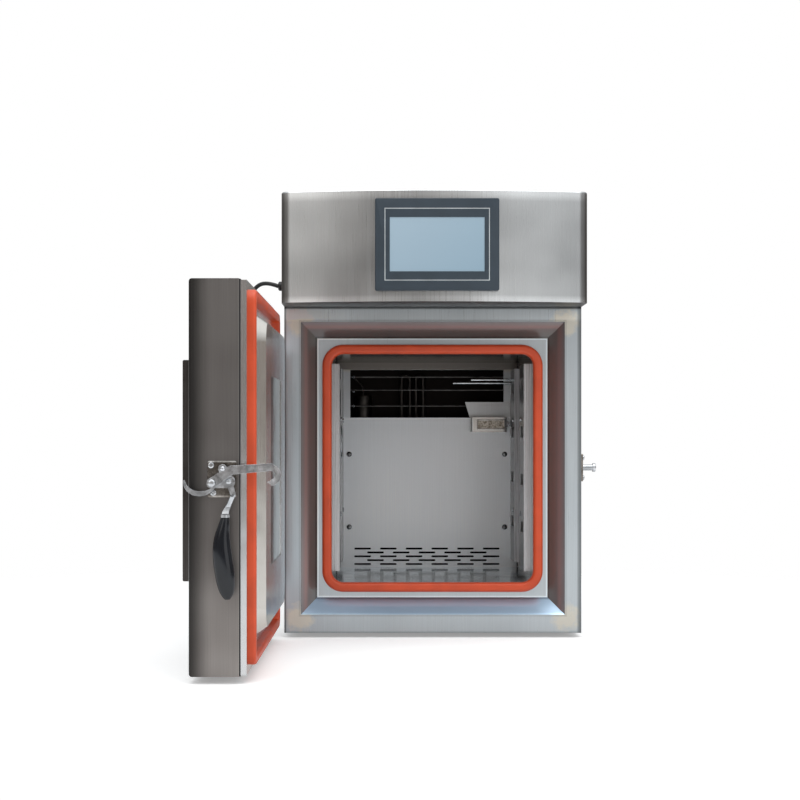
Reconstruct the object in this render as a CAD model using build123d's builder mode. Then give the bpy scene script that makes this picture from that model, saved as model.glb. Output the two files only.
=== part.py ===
from build123d import *
import os
from math import tan

# Benchtop environmental test chamber, drawn with its door swung open by a quarter turn.
# Millimetres. X runs to the right, Y to the back and Z up. While it is drawn, X = 0 is the
# middle of the cabinet, Y = 0 its front face and Z = 0 the bench. The door is given in the
# numbers it has when shut, and its sketch planes carry it to its open place.

# Cabinet
cab_d = 640.0  # depth behind the front face
skin_t = 1.5  # outer sheet
foot_h = 8.0
foot_r = 17.0
foot_inset = 50.0  # foot centre from the cabinet's side
foot_front = 95.0  # foot centre behind the front face
foot_back = 60.0  # foot centre before the rear face

# Front frame: a flat rim, a splayed rebate and an inner rim that carries the seal
face_t = 1.5
rim_side = 28.0
rim_top = 25.0
rim_bottom = 31.0
splay_w = 27.0  # the splay runs in by this much
splay_d = 27.0  # and back by this much
ledge_side = 24.5  # seal seat, beside the test space
ledge_top = 26.5  # over it
ledge_bottom = 25.5  # and under it

# Test space
cav_w = 346.0
cav_h = 392.0
cav_t = 1.2  # inner sheet
baffle_y = 355.0  # air baffle
plenum_d = 70.0  # from the baffle's face to the rear wall
bulkhead_y = 470.0  # wall between the foam and the machine space

# Cavity seal
seal_w = 16.0
seal_gap = 0.5  # seal lip from the edge of the test space
seal_r = 20.0  # inner corner
seal_bead = 6.0  # rounding of the bead
plug_gap = 0.4  # bead to the shut door's panel

# Air baffle
baffle_t = 1.2
baffle_gap = 1.0
vent_w = 294.0  # upper outlet
vent_h = 92.0
vent_room = 13.5  # over the outlet
lip_d = 12.0  # folded edge
slot_l = 32.0
slot_h = 3.6
slot_pitch = 49.3
slot_rise = 7.4
slot_up = 5.9  # lowest row above the floor
slot_rows = 5
slot_cols = 6
wire_d = 3.0  # guard wires across the outlet
wire_drops = (83.0, 52.5, 27.5)  # below the ceiling

# Shelf rails: two slotted channels on each side wall
rail_w = 90.0
rail_foot = 16.5  # under the rails
rail_head = 15.5  # over them
rail_off = 13.0  # inner face from the wall
rail_t = 1.2
rail_front = 60.0  # first rail from the front face
rail_slot_w = 56.0
rail_slot_h = 20.0
rail_slot_up = 75.0  # lowest row above the rail's foot
rail_slot_pitch = 83.5
rail_slots = 4

# Behind the baffle
coil_w = 140.0
coil_room = 11.0  # from the coil to the pot over it
coil_d = 45.0
coil_x = -75.0
coil_up = 68.5  # coil's foot above the floor
tube_d = 8.0
tube_x = (-48.0, -32.0, -20.0, -6.0)
tube_drop = 31.5  # below the ceiling
fan_x = 75.0
fan_up = 198.5  # above the floor
fan_r = 52.0
fan_len = 32.0
fan_blades = 14
fan_gap = 14.0  # wheel to the rear wall
shaft_d = 8.0
shaft_clear = 0.05
wall_clear = 2.0  # round a shaft that goes through a wall
motor_r = 38.0
motor_len = 70.0
pot_r = 17.5
pot_x = -123.0
pot_drop = 62.5  # below the ceiling
pot_h = 60.0
steam_d = 4.0

# Wet and dry bulbs
probe_d = 4.0
probe_drop = 34.0  # below the ceiling
probe_y = 325.0
dry_len = 90.0
wet_len = 124.0
wet_drop = 6.0
wet_back = 8.0
cup_w = 69.0
cup_h = 28.0
cup_d = 30.0
cup_side = 56.5  # middle from the right wall
cup_drop = 133.0  # foot below the ceiling
cup_t = 1.2
hood_rise = 30.0
hood_over = 9.0

# Cable port through the left wall, with its stopper
port_r = 23.0
port_t = 2.0
port_y = 205.0
port_up = 240.5  # above the floor
port_flange_r = 31.0
port_stand = 14.0  # stands into the test space
plug_clear = 0.3
plug_in = 60.0
plug_head = 14.0

# Header
head_h = 183.0
head_front = 90.0  # its corners stand this far before the face
head_bow = 28.0  # and its middle this much further
head_r = 18.0
head_edge_r = 3.0
head_t = 1.5
base_t = 1.5

# Touch panel
panel_w = 202.0
panel_h = 150.2
panel_x = 3.2
panel_up = 92.2  # middle above the cabinet
panel_proud = 6.0
panel_r = 3.0
screen_w = 154.1
screen_h = 88.2
screen_t = 2.0
screen_sunk = 1.0
case_w = 186.0
case_h = 132.0
case_d = 30.0

# Machine space and rear
rear_t = 1.5
louvre_w = 120.0
louvre_h = 14.0
louvre_out = 6.0
louvre_pitch = 26.0
louvre_rows = 8
louvre_z = 60.0
louvre_x = 135.0
comp_room = 17.5  # from the compressor to the walls before and behind it
comp_h = 180.0
comp_x = -125.0
comp_foot = 12.0
comp_plate_room = 8.5
comp_bolts = 12.0  # from the plate's edge to its rubber feet
comp_bolt_r = 9.0
comp_plate_t = 3.0
cond_w = 190.0
cond_h = 190.0
cond_t = 34.0
cond_x = 130.0
cond_z = 140.0
cond_back = 14.0  # condenser from the rear panel
cond_leg = 12.0
cond_rim = 12.0
cond_groove = 5.0
cmotor_r = 19.0
cmotor_lug_w = 70.0
cmotor_lug_h = 40.0
cmotor_gap = 4.0
blade_r = 78.0
blade_n = 5
blade_gap = 12.0
cfan_hub_r = 20.0
cfan_hub_l = 24.0
inlet_x = -175.0
inlet_z = 480.0
inlet_w = 50.0
inlet_h = 62.0
inlet_t = 3.0
inlet_d = 30.0
rocker_w = 21.0
rocker_h = 24.0
drain_x = 20.0
drain_z = 34.0
drain_r = 6.0
drain_len = 24.0

# Door, in shut numbers: its skin, the pan behind it and the raised panel on that
door_gap_top = 2.0  # under the header
door_bottom = 10.0
door_t = 70.0  # skin
door_back = -23.0  # where skin and pan meet
door_edge_r = 5.0
pan_inset = 2.0
pan_y = -12.5  # face of the pan
door_sheet = 1.2
panel_face = 10.0  # face of the raised panel
raised_room = 16.0  # from the door's seal to the foot of the raised panel
raised_r = 28.0
raised_splay = 16.0
dseal_inset = 13.0
dseal_w = 13.0
dseal_r = 20.0
dseal_gap = 0.3  # to the cabinet's rim

# Door window
win_w = 260.0
win_h = 322.0
win_z = 292.0
win_out = 24.0
win_rim = 22.0
win_edge_r = 2.5
pane_t = 5.5
tunnel_t = 1.2
pane_clear = 0.5

# Hinges
hinge_out = 12.0  # pivot from the cabinet's side
hinge_y = -8.0
extra_open = 0.5  # how far past square the door stands
knuckle_r = 9.5
hinge_h = 72.0
hinge_low = 90.0
hinge_high = 404.0
leaf_t = 3.0
leaf_w = 40.0
pin_d = 8.0
pin_clear = 0.05
knuckle_gap = 0.4
pin_head_r = 6.0
pin_head_t = 2.0

# Side latch: plate and lever on the door's free edge, hook over a pin on the cabinet
plate_w = 40.0
plate_h = 50.0
plate_t = 3.0
plate_y = -46.1
plate_z = 283.0
pivot_y = -36.1  # lever pivot
pivot_z = 280.0
crank_y = -58.9  # hook pivot on the lever
crank_z = 277.8
lever_gap = 2.3
lever_t = 4.8
hub_r = 9.0
crank_r = 7.0
neck_r = 3.4
neck_y = -29.6
neck_z = 262.0
bolt_d = 8.0
bolt_head_r = 5.5
bolt_head_t = 0.8
rivet_d = 6.0
rivet_head_r = 5.0
rivet_head_t = 2.0
hook_gap = 1.2
hook_t = 5.0
arm_r = 6.2
arm_y = -32.1
arm_z = 295.6
curl_t = 8.6
beak_tip_r = 1.8
tail_t = 6.4
tail_tip_t = 2.6
hook_edge = 0.7
throat_clear = 0.7
grip_out = 18.0  # grip axis from the door's edge
collar_r = 6.5
collar_z = 235.0
collar_h = 4.0
# grip sections: height, place along the door's thickness, half width, half depth
grip_sections = (
    (231.0, -40.2, 5.6, 5.2),
    (212.0, -43.3, 9.4, 7.4),
    (190.0, -44.6, 12.4, 8.8),
    (165.0, -42.1, 13.8, 9.4),
    (143.0, -39.4, 12.9, 8.8),
    (128.0, -37.9, 9.6, 7.2),
    (118.7, -37.3, 3.2, 3.2),
)
strike_w = 32.0
strike_h = 47.0
strike_t = 4.0
strike_y = 21.9
strike_z = 288.7
strike_d = 10.4
strike_out = 27.0
strike_head_r = 7.5
strike_head_t = 5.0

# Door cable, from a gland on the door's hinge end up to one on the header
gland_r = 8.0
gland_len = 12.0
gland_base = 4.0
gland_base_r = 10.0
cable_d = 7.0
door_gland_y = -60.0
door_gland_z = 500.0
head_gland_y = 30.0
head_gland_up = 38.0  # above the cabinet

# Widths, heights and depths that follow
cab_w = cav_w + 2 * (rim_side + splay_w + ledge_side)
cab_h = cav_h + rim_top + rim_bottom + 2 * splay_w + ledge_top + ledge_bottom
cab_mid = foot_h + cab_h / 2
cab_top = foot_h + cab_h
cav_foot = foot_h + rim_bottom + splay_w + ledge_bottom
cav_top = cav_foot + cav_h
cav_z = (cav_foot + cav_top) / 2
vent_z = cav_top - vent_room - vent_h / 2
slot_z = cav_foot + slot_up
wire_z = [cav_top - drop for drop in wire_drops]
tube_top = cav_top - tube_drop
fan_z = cav_foot + fan_up
pot_top = cav_top - pot_drop
coil_h = pot_top - pot_h - coil_room - cav_foot - coil_up
coil_z = cav_foot + coil_up + coil_h / 2
probe_z = cav_top - probe_drop
cup_z = cav_top - cup_drop
port_z = cav_foot + port_up
panel_z = cab_top + panel_up
head_gland_z = cab_top + head_gland_up
half_w = cab_w / 2
hinge_x = -half_w - hinge_out
door_w = cab_w
rebate_w = cab_w - 2 * rim_side
rebate_h = cab_h - rim_top - rim_bottom
rebate_z = foot_h + rim_bottom + rebate_h / 2
seat_w = rebate_w - 2 * splay_w
seat_h = rebate_h - 2 * splay_w
cav_back = baffle_y + plenum_d
wall_x = cav_w / 2
cup_x = wall_x - cup_side
rail_z = cav_foot + rail_foot
rail_slot_z = rail_z + rail_slot_up
rail_h = cav_h - rail_foot - rail_head
machine_y = bulkhead_y + skin_t
rear_y = cab_d - rear_t
comp_r = (rear_y - machine_y) / 2 - comp_room
comp_plate = rear_y - machine_y - 2 * comp_plate_room
door_h = cab_top - door_gap_top - door_bottom
door_z = door_bottom + door_h / 2
door_front = door_back - door_t
door_edge = door_w / 2
raised_w = door_w - 2 * (dseal_inset + dseal_w + raised_room + raised_splay)
raised_h = door_h - 2 * (dseal_inset + dseal_w + raised_room + raised_splay)
seal_h = splay_d - panel_face - plug_gap
dseal_h = -dseal_gap - pan_y
tunnel_w = win_w - 2 * win_rim
tunnel_h = win_h - 2 * win_rim
lever_x = door_edge + plate_t + lever_gap
hook_x = lever_x + lever_t + hook_gap
crest_y = -(head_front + head_bow)
fan_y = cav_back - fan_gap


def front_at(y):
    """Sketch plane that faces forwards: its x is X and its y is Z."""
    return Plane(origin=(0, y, 0), x_dir=(1, 0, 0), z_dir=(0, -1, 0))


def side_at(x):
    """Sketch plane that faces right: its x is Y and its y is Z."""
    return Plane(origin=(x, 0, 0), x_dir=(0, 1, 0), z_dir=(1, 0, 0))


def swung(x, y):
    """Where a point of the shut door lies once the door is swung open."""
    return (hinge_x + y - hinge_y, hinge_y + hinge_x - x)


def turned(x, y):
    """Where a point of the square-open door lies once the door is turned a little further."""
    point = Vector(x - hinge_x, y - hinge_y).rotate(Axis.Z, -extra_open)
    return (hinge_x + point.X, hinge_y + point.Y)


def door_at(y):
    """Plane across the swung door at its shut depth y, facing out of its front."""
    return Plane(origin=(*swung(0, y), 0), x_dir=(0, -1, 0), z_dir=(-1, 0, 0))


def edge_at(x):
    """Plane on the swung door at its shut place x, facing out of its free edge."""
    return Plane(origin=(*swung(x, 0), 0), x_dir=(1, 0, 0), z_dir=(0, -1, 0))


def foot_places():
    """The four foot centres on the bench."""
    x = half_w - foot_inset
    return [(s * x, y) for s in (-1, 1) for y in (foot_front, cab_d - foot_back)]


pieces = {}

# Folded outer cabinet, open to the front and the rear
with BuildPart() as body_shell:
    with BuildSketch(front_at(face_t)):
        with Locations((0, cab_mid)):
            Rectangle(cab_w, cab_h)
            Rectangle(cab_w - 2 * skin_t, cab_h - 2 * skin_t, mode=Mode.SUBTRACT)
    extrude(amount=-(rear_y - face_t))
    with BuildSketch(side_at(-half_w)):
        with Locations((port_y, port_z)):
            Circle(port_r + port_t)
    extrude(amount=skin_t, mode=Mode.SUBTRACT)
pieces["body_shell"] = body_shell.part

# Front frame: rim, splay and seal seat welded into one
with BuildPart() as front_frame:
    with BuildSketch(front_at(0)):
        with Locations((0, cab_mid)):
            Rectangle(cab_w, cab_h)
        with Locations((0, rebate_z)):
            Rectangle(rebate_w, rebate_h, mode=Mode.SUBTRACT)
    extrude(amount=-face_t)
    with BuildSketch(front_at(0)):
        with Locations((0, rebate_z)):
            Rectangle(rebate_w + 2 * face_t, rebate_h + 2 * face_t)
    with BuildSketch(front_at(splay_d)):
        with Locations((0, rebate_z)):
            Rectangle(seat_w + 2 * face_t, seat_h + 2 * face_t)
    loft()
    with BuildSketch(front_at(0)):
        with Locations((0, rebate_z)):
            Rectangle(rebate_w, rebate_h)
    with BuildSketch(front_at(splay_d)):
        with Locations((0, rebate_z)):
            Rectangle(seat_w, seat_h)
    loft(mode=Mode.SUBTRACT)
    with BuildSketch(front_at(splay_d)):
        with Locations((0, rebate_z)):
            Rectangle(seat_w + 2 * face_t, seat_h + 2 * face_t)
        with Locations((0, cav_z)):
            Rectangle(cav_w, cav_h, mode=Mode.SUBTRACT)
    extrude(amount=-face_t)
pieces["front_frame"] = front_frame.part

# Inner box of the test space, with holes for the port, the probes and the fan shaft
with BuildPart() as inner_liner:
    with BuildSketch(front_at(splay_d + face_t)):
        with Locations((0, cav_z)):
            Rectangle(cav_w + 2 * cav_t, cav_h + 2 * cav_t)
            Rectangle(cav_w, cav_h, mode=Mode.SUBTRACT)
    extrude(amount=-(cav_back - splay_d - face_t))
    with BuildSketch(front_at(cav_back)):
        with Locations((0, cav_z)):
            Rectangle(cav_w + 2 * cav_t, cav_h + 2 * cav_t)
        with Locations((fan_x, fan_z)):
            Circle(shaft_d / 2 + wall_clear, mode=Mode.SUBTRACT)
    extrude(amount=-cav_t)
    with BuildSketch(side_at(-wall_x)):
        with Locations((port_y, port_z)):
            Circle(port_r + port_t)
    extrude(amount=-cav_t, mode=Mode.SUBTRACT)
    with BuildSketch(side_at(wall_x)):
        with Locations((probe_y, probe_z), (probe_y + wet_back, probe_z - wet_drop)):
            Circle(probe_d / 2)
    extrude(amount=cav_t, mode=Mode.SUBTRACT)
pieces["inner_liner"] = inner_liner.part

# Foam between the outer cabinet and the inner box
with BuildPart() as insulation:
    with BuildSketch(front_at(splay_d + face_t)):
        with Locations((0, cab_mid)):
            Rectangle(cab_w - 2 * skin_t, cab_h - 2 * skin_t)
    extrude(amount=-(bulkhead_y - splay_d - face_t))
    with BuildSketch(front_at(splay_d + face_t)):
        with Locations((0, cav_z)):
            Rectangle(cav_w + 2 * cav_t, cav_h + 2 * cav_t)
    extrude(amount=-(cav_back + cav_t - splay_d - face_t), mode=Mode.SUBTRACT)
    with BuildSketch(front_at(cav_back)):
        with Locations((fan_x, fan_z)):
            Circle(shaft_d / 2 + wall_clear)
    extrude(amount=-(bulkhead_y - cav_back), mode=Mode.SUBTRACT)
    with BuildSketch(side_at(-half_w)):
        with Locations((port_y, port_z)):
            Circle(port_r + port_t)
    extrude(amount=half_w - wall_x, mode=Mode.SUBTRACT)
    with BuildSketch(side_at(wall_x + cav_t)):
        with Locations((probe_y, probe_z), (probe_y + wet_back, probe_z - wet_drop)):
            Circle(probe_d / 2)
    extrude(amount=probe_d * 5, mode=Mode.SUBTRACT)
pieces["insulation"] = insulation.part

# Wall that closes the foam off from the machine space
with BuildPart() as bulkhead:
    with BuildSketch(front_at(bulkhead_y)):
        with Locations((0, cab_mid)):
            Rectangle(cab_w - 2 * skin_t, cab_h - 2 * skin_t)
        with Locations((fan_x, fan_z)):
            Circle(shaft_d / 2 + wall_clear, mode=Mode.SUBTRACT)
    extrude(amount=-skin_t)
pieces["bulkhead"] = bulkhead.part

# Silicone seal round the mouth of the test space
with BuildPart() as cavity_seal:
    with BuildSketch(front_at(splay_d)):
        with Locations((0, cav_z)):
            RectangleRounded(
                cav_w + 2 * (seal_w - seal_gap), cav_h + 2 * (seal_w - seal_gap), seal_r + seal_w
            )
            RectangleRounded(cav_w - 2 * seal_gap, cav_h - 2 * seal_gap, seal_r, mode=Mode.SUBTRACT)
    extrude(amount=seal_h)
    fillet(cavity_seal.faces().sort_by(Axis.Y)[0].edges(), seal_bead)
pieces["cavity_seal"] = cavity_seal.part

# Air baffle with its outlet, its staggered return slots and folded edges
with BuildPart() as air_baffle:
    with BuildSketch(front_at(baffle_y)):
        with Locations((0, cav_z)):
            Rectangle(cav_w - 2 * baffle_gap, cav_h)
        with Locations((0, vent_z)):
            Rectangle(vent_w, vent_h, mode=Mode.SUBTRACT)
        for row in range(slot_rows):
            count = slot_cols - row % 2
            with Locations((0, slot_z + row * slot_rise)):
                with GridLocations(slot_pitch, 1, count, 1):
                    SlotOverall(slot_l, slot_h, mode=Mode.SUBTRACT)
    extrude(amount=-baffle_t)
    with BuildSketch(front_at(baffle_y + baffle_t)):
        for side in (-1, 1):
            with Locations((0, cav_z + side * (cav_h - baffle_t) / 2)):
                Rectangle(cav_w - 2 * baffle_gap, baffle_t)
            with Locations((0, vent_z + side * (vent_h + baffle_t) / 2)):
                Rectangle(vent_w, baffle_t)
    extrude(amount=-lip_d)
pieces["air_baffle"] = air_baffle.part

# Guard wires behind the outlet
with BuildPart() as guard_wires:
    with BuildSketch(side_at(-vent_w / 2 - lip_d)):
        with Locations(*[(baffle_y + baffle_t + wire_d / 2, z) for z in wire_z]):
            Circle(wire_d / 2)
    extrude(amount=vent_w + 2 * lip_d)
pieces["guard_wires"] = guard_wires.part


probe_places = [(probe_y, probe_z), (probe_y + wet_back, probe_z - wet_drop)]


def shelf_rail(side, y):
    """Slotted channel, folded to the side wall at its front and rear edges."""
    x = side * (wall_x - rail_off / 2)
    with BuildPart() as rail:
        with BuildSketch(Plane.XY.offset(rail_z)):
            with Locations((x, y + rail_w / 2)):
                Rectangle(rail_off, rail_w)
            with Locations((x + side * rail_t, y + rail_w / 2)):
                Rectangle(rail_off, rail_w - 2 * rail_t, mode=Mode.SUBTRACT)
        extrude(amount=rail_h)
        with BuildSketch(side_at(x)):
            for row in range(rail_slots):
                with Locations((y + rail_w / 2, rail_slot_z + row * rail_slot_pitch)):
                    Rectangle(rail_slot_w, rail_slot_h)
        extrude(amount=rail_off, both=True, mode=Mode.SUBTRACT)
        if side > 0 and y > rail_front:
            with BuildSketch(side_at(x)):
                with Locations(*probe_places):
                    Circle(probe_d / 2 + plug_clear)
            extrude(amount=-rail_off, mode=Mode.SUBTRACT)
    return rail.part


for side, hand in ((-1, "left"), (1, "right")):
    pieces[f"shelf_rail_front_{hand}"] = shelf_rail(side, rail_front)
    pieces[f"shelf_rail_rear_{hand}"] = shelf_rail(side, baffle_y - rail_w)

# Evaporator: finned block on the rear wall, with its tubes rising behind the outlet
with BuildPart() as evaporator:
    with BuildSketch(front_at(cav_back)):
        with Locations((coil_x, coil_z)):
            Rectangle(coil_w, coil_h)
    extrude(amount=coil_d)
    for left, right in (tube_x[:2], tube_x[2:]):
        bend = (right - left) / 2
        rise = tube_top - coil_z - coil_h / 2
        with BuildLine(front_at(cav_back - coil_d / 2)):
            up = Line((left, tube_top - rise), (left, tube_top))
            over = ThreePointArc(up @ 1, (left + bend, tube_top + bend), (right, tube_top))
            down = Line(over @ 1, (right, tube_top - rise))
        with BuildSketch(Plane(origin=up @ 0, z_dir=up % 0)):
            Circle(tube_d / 2)
        sweep()
pieces["evaporator"] = evaporator.part

# Humidifier pot with its bent steam tube
with BuildPart() as humidifier_pot:
    with BuildSketch(Plane.XY.offset(pot_top - pot_h)):
        with Locations((pot_x, cav_back - pot_r)):
            Circle(pot_r)
    extrude(amount=pot_h)
    with BuildLine(front_at(cav_back - pot_r)):
        steam = FilletPolyline(
            (pot_x, pot_top), (pot_x, pot_top + pot_r), (pot_x - pot_r, pot_top + 2 * pot_r), radius=pot_r / 2
        )
    with BuildSketch(Plane(origin=steam @ 0, z_dir=steam % 0)):
        Circle(steam_d / 2)
    sweep()
pieces["humidifier_pot"] = humidifier_pot.part

# Circulation wheel and its shaft
with BuildPart() as circulation_wheel:
    with BuildSketch(front_at(fan_y)):
        with Locations((fan_x, fan_z)):
            Circle(fan_r)
    extrude(amount=baffle_t)
    with BuildSketch(front_at(fan_y - baffle_t)):
        with Locations((fan_x, fan_z)):
            with PolarLocations(fan_r - fan_gap / 2, fan_blades):
                Rectangle(fan_gap, baffle_t, rotation=35)
    extrude(amount=fan_len)
    with BuildSketch(front_at(fan_y - fan_len)):
        with Locations((fan_x, fan_z)):
            Circle(fan_r)
            Circle(fan_r - fan_gap * 0.8, mode=Mode.SUBTRACT)
    extrude(amount=baffle_t)
    with BuildSketch(front_at(fan_y)):
        with Locations((fan_x, fan_z)):
            Circle(shaft_d)
    extrude(amount=fan_gap)
    with BuildSketch(front_at(fan_y)):
        with Locations((fan_x, fan_z)):
            Circle(shaft_d / 2)
    extrude(amount=-(machine_y + motor_len / 2 - fan_y))
pieces["circulation_wheel"] = circulation_wheel.part

# Circulation motor on the machine side
with BuildPart() as circulation_motor:
    with BuildSketch(front_at(machine_y)):
        with Locations((fan_x, fan_z)):
            Circle(motor_r)
    extrude(amount=-motor_len)
    with BuildSketch(front_at(machine_y)):
        with Locations((fan_x, fan_z)):
            Circle(shaft_d / 2 + shaft_clear)
    extrude(amount=-(motor_len / 2 + wall_clear), mode=Mode.SUBTRACT)
pieces["circulation_motor"] = circulation_motor.part


def probe(y, z, length):
    """Sheathed sensor that comes in through the right wall."""
    with BuildPart() as rod:
        with BuildSketch(side_at(wall_x + probe_d * 5)):
            with Locations((y, z)):
                Circle(probe_d / 2)
        extrude(amount=-(probe_d * 5 + length))
        with BuildSketch(side_at(wall_x)):
            with Locations((y, z)):
                Circle(probe_d)
                Circle(probe_d / 2, mode=Mode.SUBTRACT)
        extrude(amount=-probe_d)
    return rod.part


pieces["dry_bulb"] = probe(probe_y, probe_z, dry_len)
pieces["wet_bulb"] = probe(probe_y + wet_back, probe_z - wet_drop, wet_len)

# Water cup of the wet bulb, on the baffle
with BuildPart() as water_cup:
    with BuildSketch(front_at(baffle_y)):
        with Locations((cup_x, cup_z + cup_h / 2)):
            Rectangle(cup_w, cup_h)
    extrude(amount=cup_d)
    fillet(water_cup.edges().filter_by(Axis.Z).group_by(Axis.Y)[0], cup_d / 5)
    offset(amount=-cup_t, openings=water_cup.faces().sort_by(Axis.Z)[-1])
pieces["water_cup"] = water_cup.part

# Hood plate behind and above the cup, cut to a slant
with BuildPart() as cup_hood:
    with BuildSketch(front_at(baffle_y)):
        with BuildLine():
            left = cup_x - cup_w / 2
            right = wall_x - rail_off - baffle_gap
            top = vent_z - vent_h / 2 + hood_rise
            Polyline(
                (left, cup_z + cup_h),
                (right, cup_z + cup_h),
                (right, top),
                (left - hood_over, top),
                close=True,
            )
        make_face()
    extrude(amount=cup_t)
pieces["cup_hood"] = cup_hood.part

# Sleeve of the cable port, through both walls and the foam
with BuildPart() as port_sleeve:
    with BuildSketch(side_at(-half_w)):
        with Locations((port_y, port_z)):
            Circle(port_r + port_t)
    extrude(amount=half_w - wall_x + port_stand)
    with BuildSketch(side_at(-half_w)):
        with Locations((port_y, port_z)):
            Circle(port_flange_r)
    extrude(amount=-port_t)
    with BuildSketch(side_at(-wall_x + port_stand)):
        with Locations((port_y, port_z)):
            Circle(port_flange_r)
    extrude(amount=-port_t)
    with BuildSketch(side_at(-half_w - port_t)):
        with Locations((port_y, port_z)):
            Circle(port_r)
    extrude(amount=half_w + port_t, mode=Mode.SUBTRACT)
pieces["port_sleeve"] = port_sleeve.part

# Silicone stopper that draws out of the port to the left
with BuildPart() as port_stopper:
    with BuildSketch(side_at(-half_w - port_t - plug_clear)):
        with Locations((port_y, port_z)):
            Circle(port_flange_r)
    extrude(amount=-plug_head)
    fillet(port_stopper.faces().sort_by(Axis.X)[0].edges(), plug_head / 3)
    with BuildSketch(side_at(-half_w - port_t - plug_clear)):
        with Locations((port_y, port_z)):
            Circle(port_r - plug_clear)
    extrude(amount=plug_in, taper=1)
pieces["port_stopper"] = port_stopper.part


def header_outline(inset):
    """Plan of the header: straight sides and rear, bowed front and rounded corners."""
    x = half_w - inset
    front = -head_front + inset
    with BuildSketch() as plan:
        with BuildLine():
            bow = ThreePointArc((-x, front), (0, front - head_bow), (x, front))
            Polyline(bow @ 1, (x, cab_d - inset), (-x, cab_d - inset), bow @ 0)
        make_face()
        fillet(plan.vertices().group_by(Axis.Y)[0], head_r - inset)
    return plan.sketch


# Header box with a bowed front
with BuildPart() as header_block:
    with BuildSketch(Plane.XY.offset(cab_top)):
        add(header_outline(0))
    extrude(amount=head_h)
    fillet(header_block.faces().sort_by(Axis.Z)[-1].edges(), head_edge_r)
outer_header = header_block.part

with BuildPart() as header_shell:
    add(outer_header)
    with BuildSketch(Plane.XY.offset(cab_top)):
        add(header_outline(head_t))
    extrude(amount=head_h - head_t, mode=Mode.SUBTRACT)
    with BuildSketch(front_at(0)):
        with Locations((panel_x, panel_z)):
            Rectangle(case_w + 2 * plug_clear, case_h + 2 * plug_clear)
    extrude(amount=head_front + 2 * head_bow, mode=Mode.SUBTRACT)
pieces["header_shell"] = header_shell.part

# Underside of the header, which shows where it overhangs the door
with BuildPart() as header_base:
    with BuildSketch(Plane.XY.offset(cab_top)):
        add(header_outline(head_t))
    extrude(amount=base_t)
pieces["header_base"] = header_base.part

# Touch panel: bezel shaped to the bow, screen and the case behind it
with BuildPart() as display_bezel:
    with BuildSketch(front_at(crest_y - panel_proud)):
        with Locations((panel_x, panel_z)):
            RectangleRounded(panel_w, panel_h, panel_r)
    extrude(amount=-(panel_proud + head_bow / 2))
    chamfer(display_bezel.faces().sort_by(Axis.Y)[0].edges(), 1.0)
    add(outer_header, mode=Mode.SUBTRACT)
    with BuildSketch(front_at(crest_y)):
        with Locations((panel_x, panel_z)):
            Rectangle(case_w + 2 * plug_clear, case_h + 2 * plug_clear)
    extrude(amount=-head_bow, mode=Mode.SUBTRACT)
    with BuildSketch(front_at(crest_y - panel_proud)):
        with Locations((panel_x, panel_z)):
            Rectangle(screen_w, screen_h)
    extrude(amount=-(screen_sunk + screen_t), mode=Mode.SUBTRACT)
pieces["display_bezel"] = display_bezel.part

with BuildPart() as display_screen:
    with BuildSketch(front_at(crest_y - panel_proud + screen_sunk)):
        with Locations((panel_x, panel_z)):
            Rectangle(screen_w, screen_h)
    extrude(amount=-screen_t)
pieces["display_screen"] = display_screen.part

with BuildPart() as display_case:
    with BuildSketch(front_at(crest_y)):
        with Locations((panel_x, panel_z)):
            Rectangle(case_w, case_h)
    extrude(amount=-case_d)
pieces["display_case"] = display_case.part

# Rear panel with pressed louvres
with BuildPart() as rear_panel:
    with BuildSketch(front_at(rear_y)):
        with Locations((0, cab_mid)):
            Rectangle(cab_w, cab_h)
        with Locations((inlet_x, inlet_z)):
            Rectangle(inlet_w - 6, inlet_h - 6, mode=Mode.SUBTRACT)
        with Locations((drain_x, drain_z)):
            Circle(drain_r, mode=Mode.SUBTRACT)
    extrude(amount=-rear_t)
    for side in (-1, 1):
        for row in range(louvre_rows):
            low = louvre_z + row * louvre_pitch
            with BuildSketch(side_at(side * louvre_x - louvre_w / 2)):
                with BuildLine():
                    Polyline(
                        (cab_d, low), (cab_d + louvre_out, low), (cab_d, low + louvre_h), close=True
                    )
                make_face()
            extrude(amount=louvre_w)
            with BuildSketch(side_at(side * louvre_x - louvre_w / 2 + rear_t)):
                with BuildLine():
                    Polyline(
                        (rear_y, low),
                        (cab_d + louvre_out - 2 * rear_t, low),
                        (cab_d - rear_t / 2, low + louvre_h - 2.5 * rear_t),
                        (rear_y, low + louvre_h - 2.5 * rear_t),
                        close=True,
                    )
                make_face()
            extrude(amount=louvre_w - 2 * rear_t, mode=Mode.SUBTRACT)
pieces["rear_panel"] = rear_panel.part

# Power inlet with a switch above the socket
with BuildPart() as power_inlet:
    with BuildSketch(front_at(cab_d)):
        with Locations((inlet_x, inlet_z)):
            RectangleRounded(inlet_w, inlet_h, 3)
    extrude(amount=-inlet_t)
    with BuildSketch(front_at(cab_d)):
        with Locations((inlet_x, inlet_z)):
            Rectangle(inlet_w - 6, inlet_h - 6)
    extrude(amount=inlet_d)
    with BuildSketch(front_at(cab_d + inlet_t)):
        with Locations((inlet_x, inlet_z - inlet_h / 4)):
            Rectangle(27.5, 20.5)
        with Locations((inlet_x, inlet_z + inlet_h / 4)):
            Rectangle(rocker_w + 1, rocker_h + 1)
    extrude(amount=inlet_d * 0.6, mode=Mode.SUBTRACT)
    with BuildSketch(front_at(cab_d)):
        with Locations((inlet_x, inlet_z - inlet_h / 4)):
            Rectangle(22.5, 15.5)
    extrude(amount=inlet_d * 0.6 - inlet_t)
    with BuildSketch(front_at(cab_d)):
        with Locations((inlet_x, inlet_z - inlet_h / 4)):
            with GridLocations(7, 1, 3, 1):
                Rectangle(2, 4.5)
    extrude(amount=inlet_t, mode=Mode.SUBTRACT)
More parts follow.
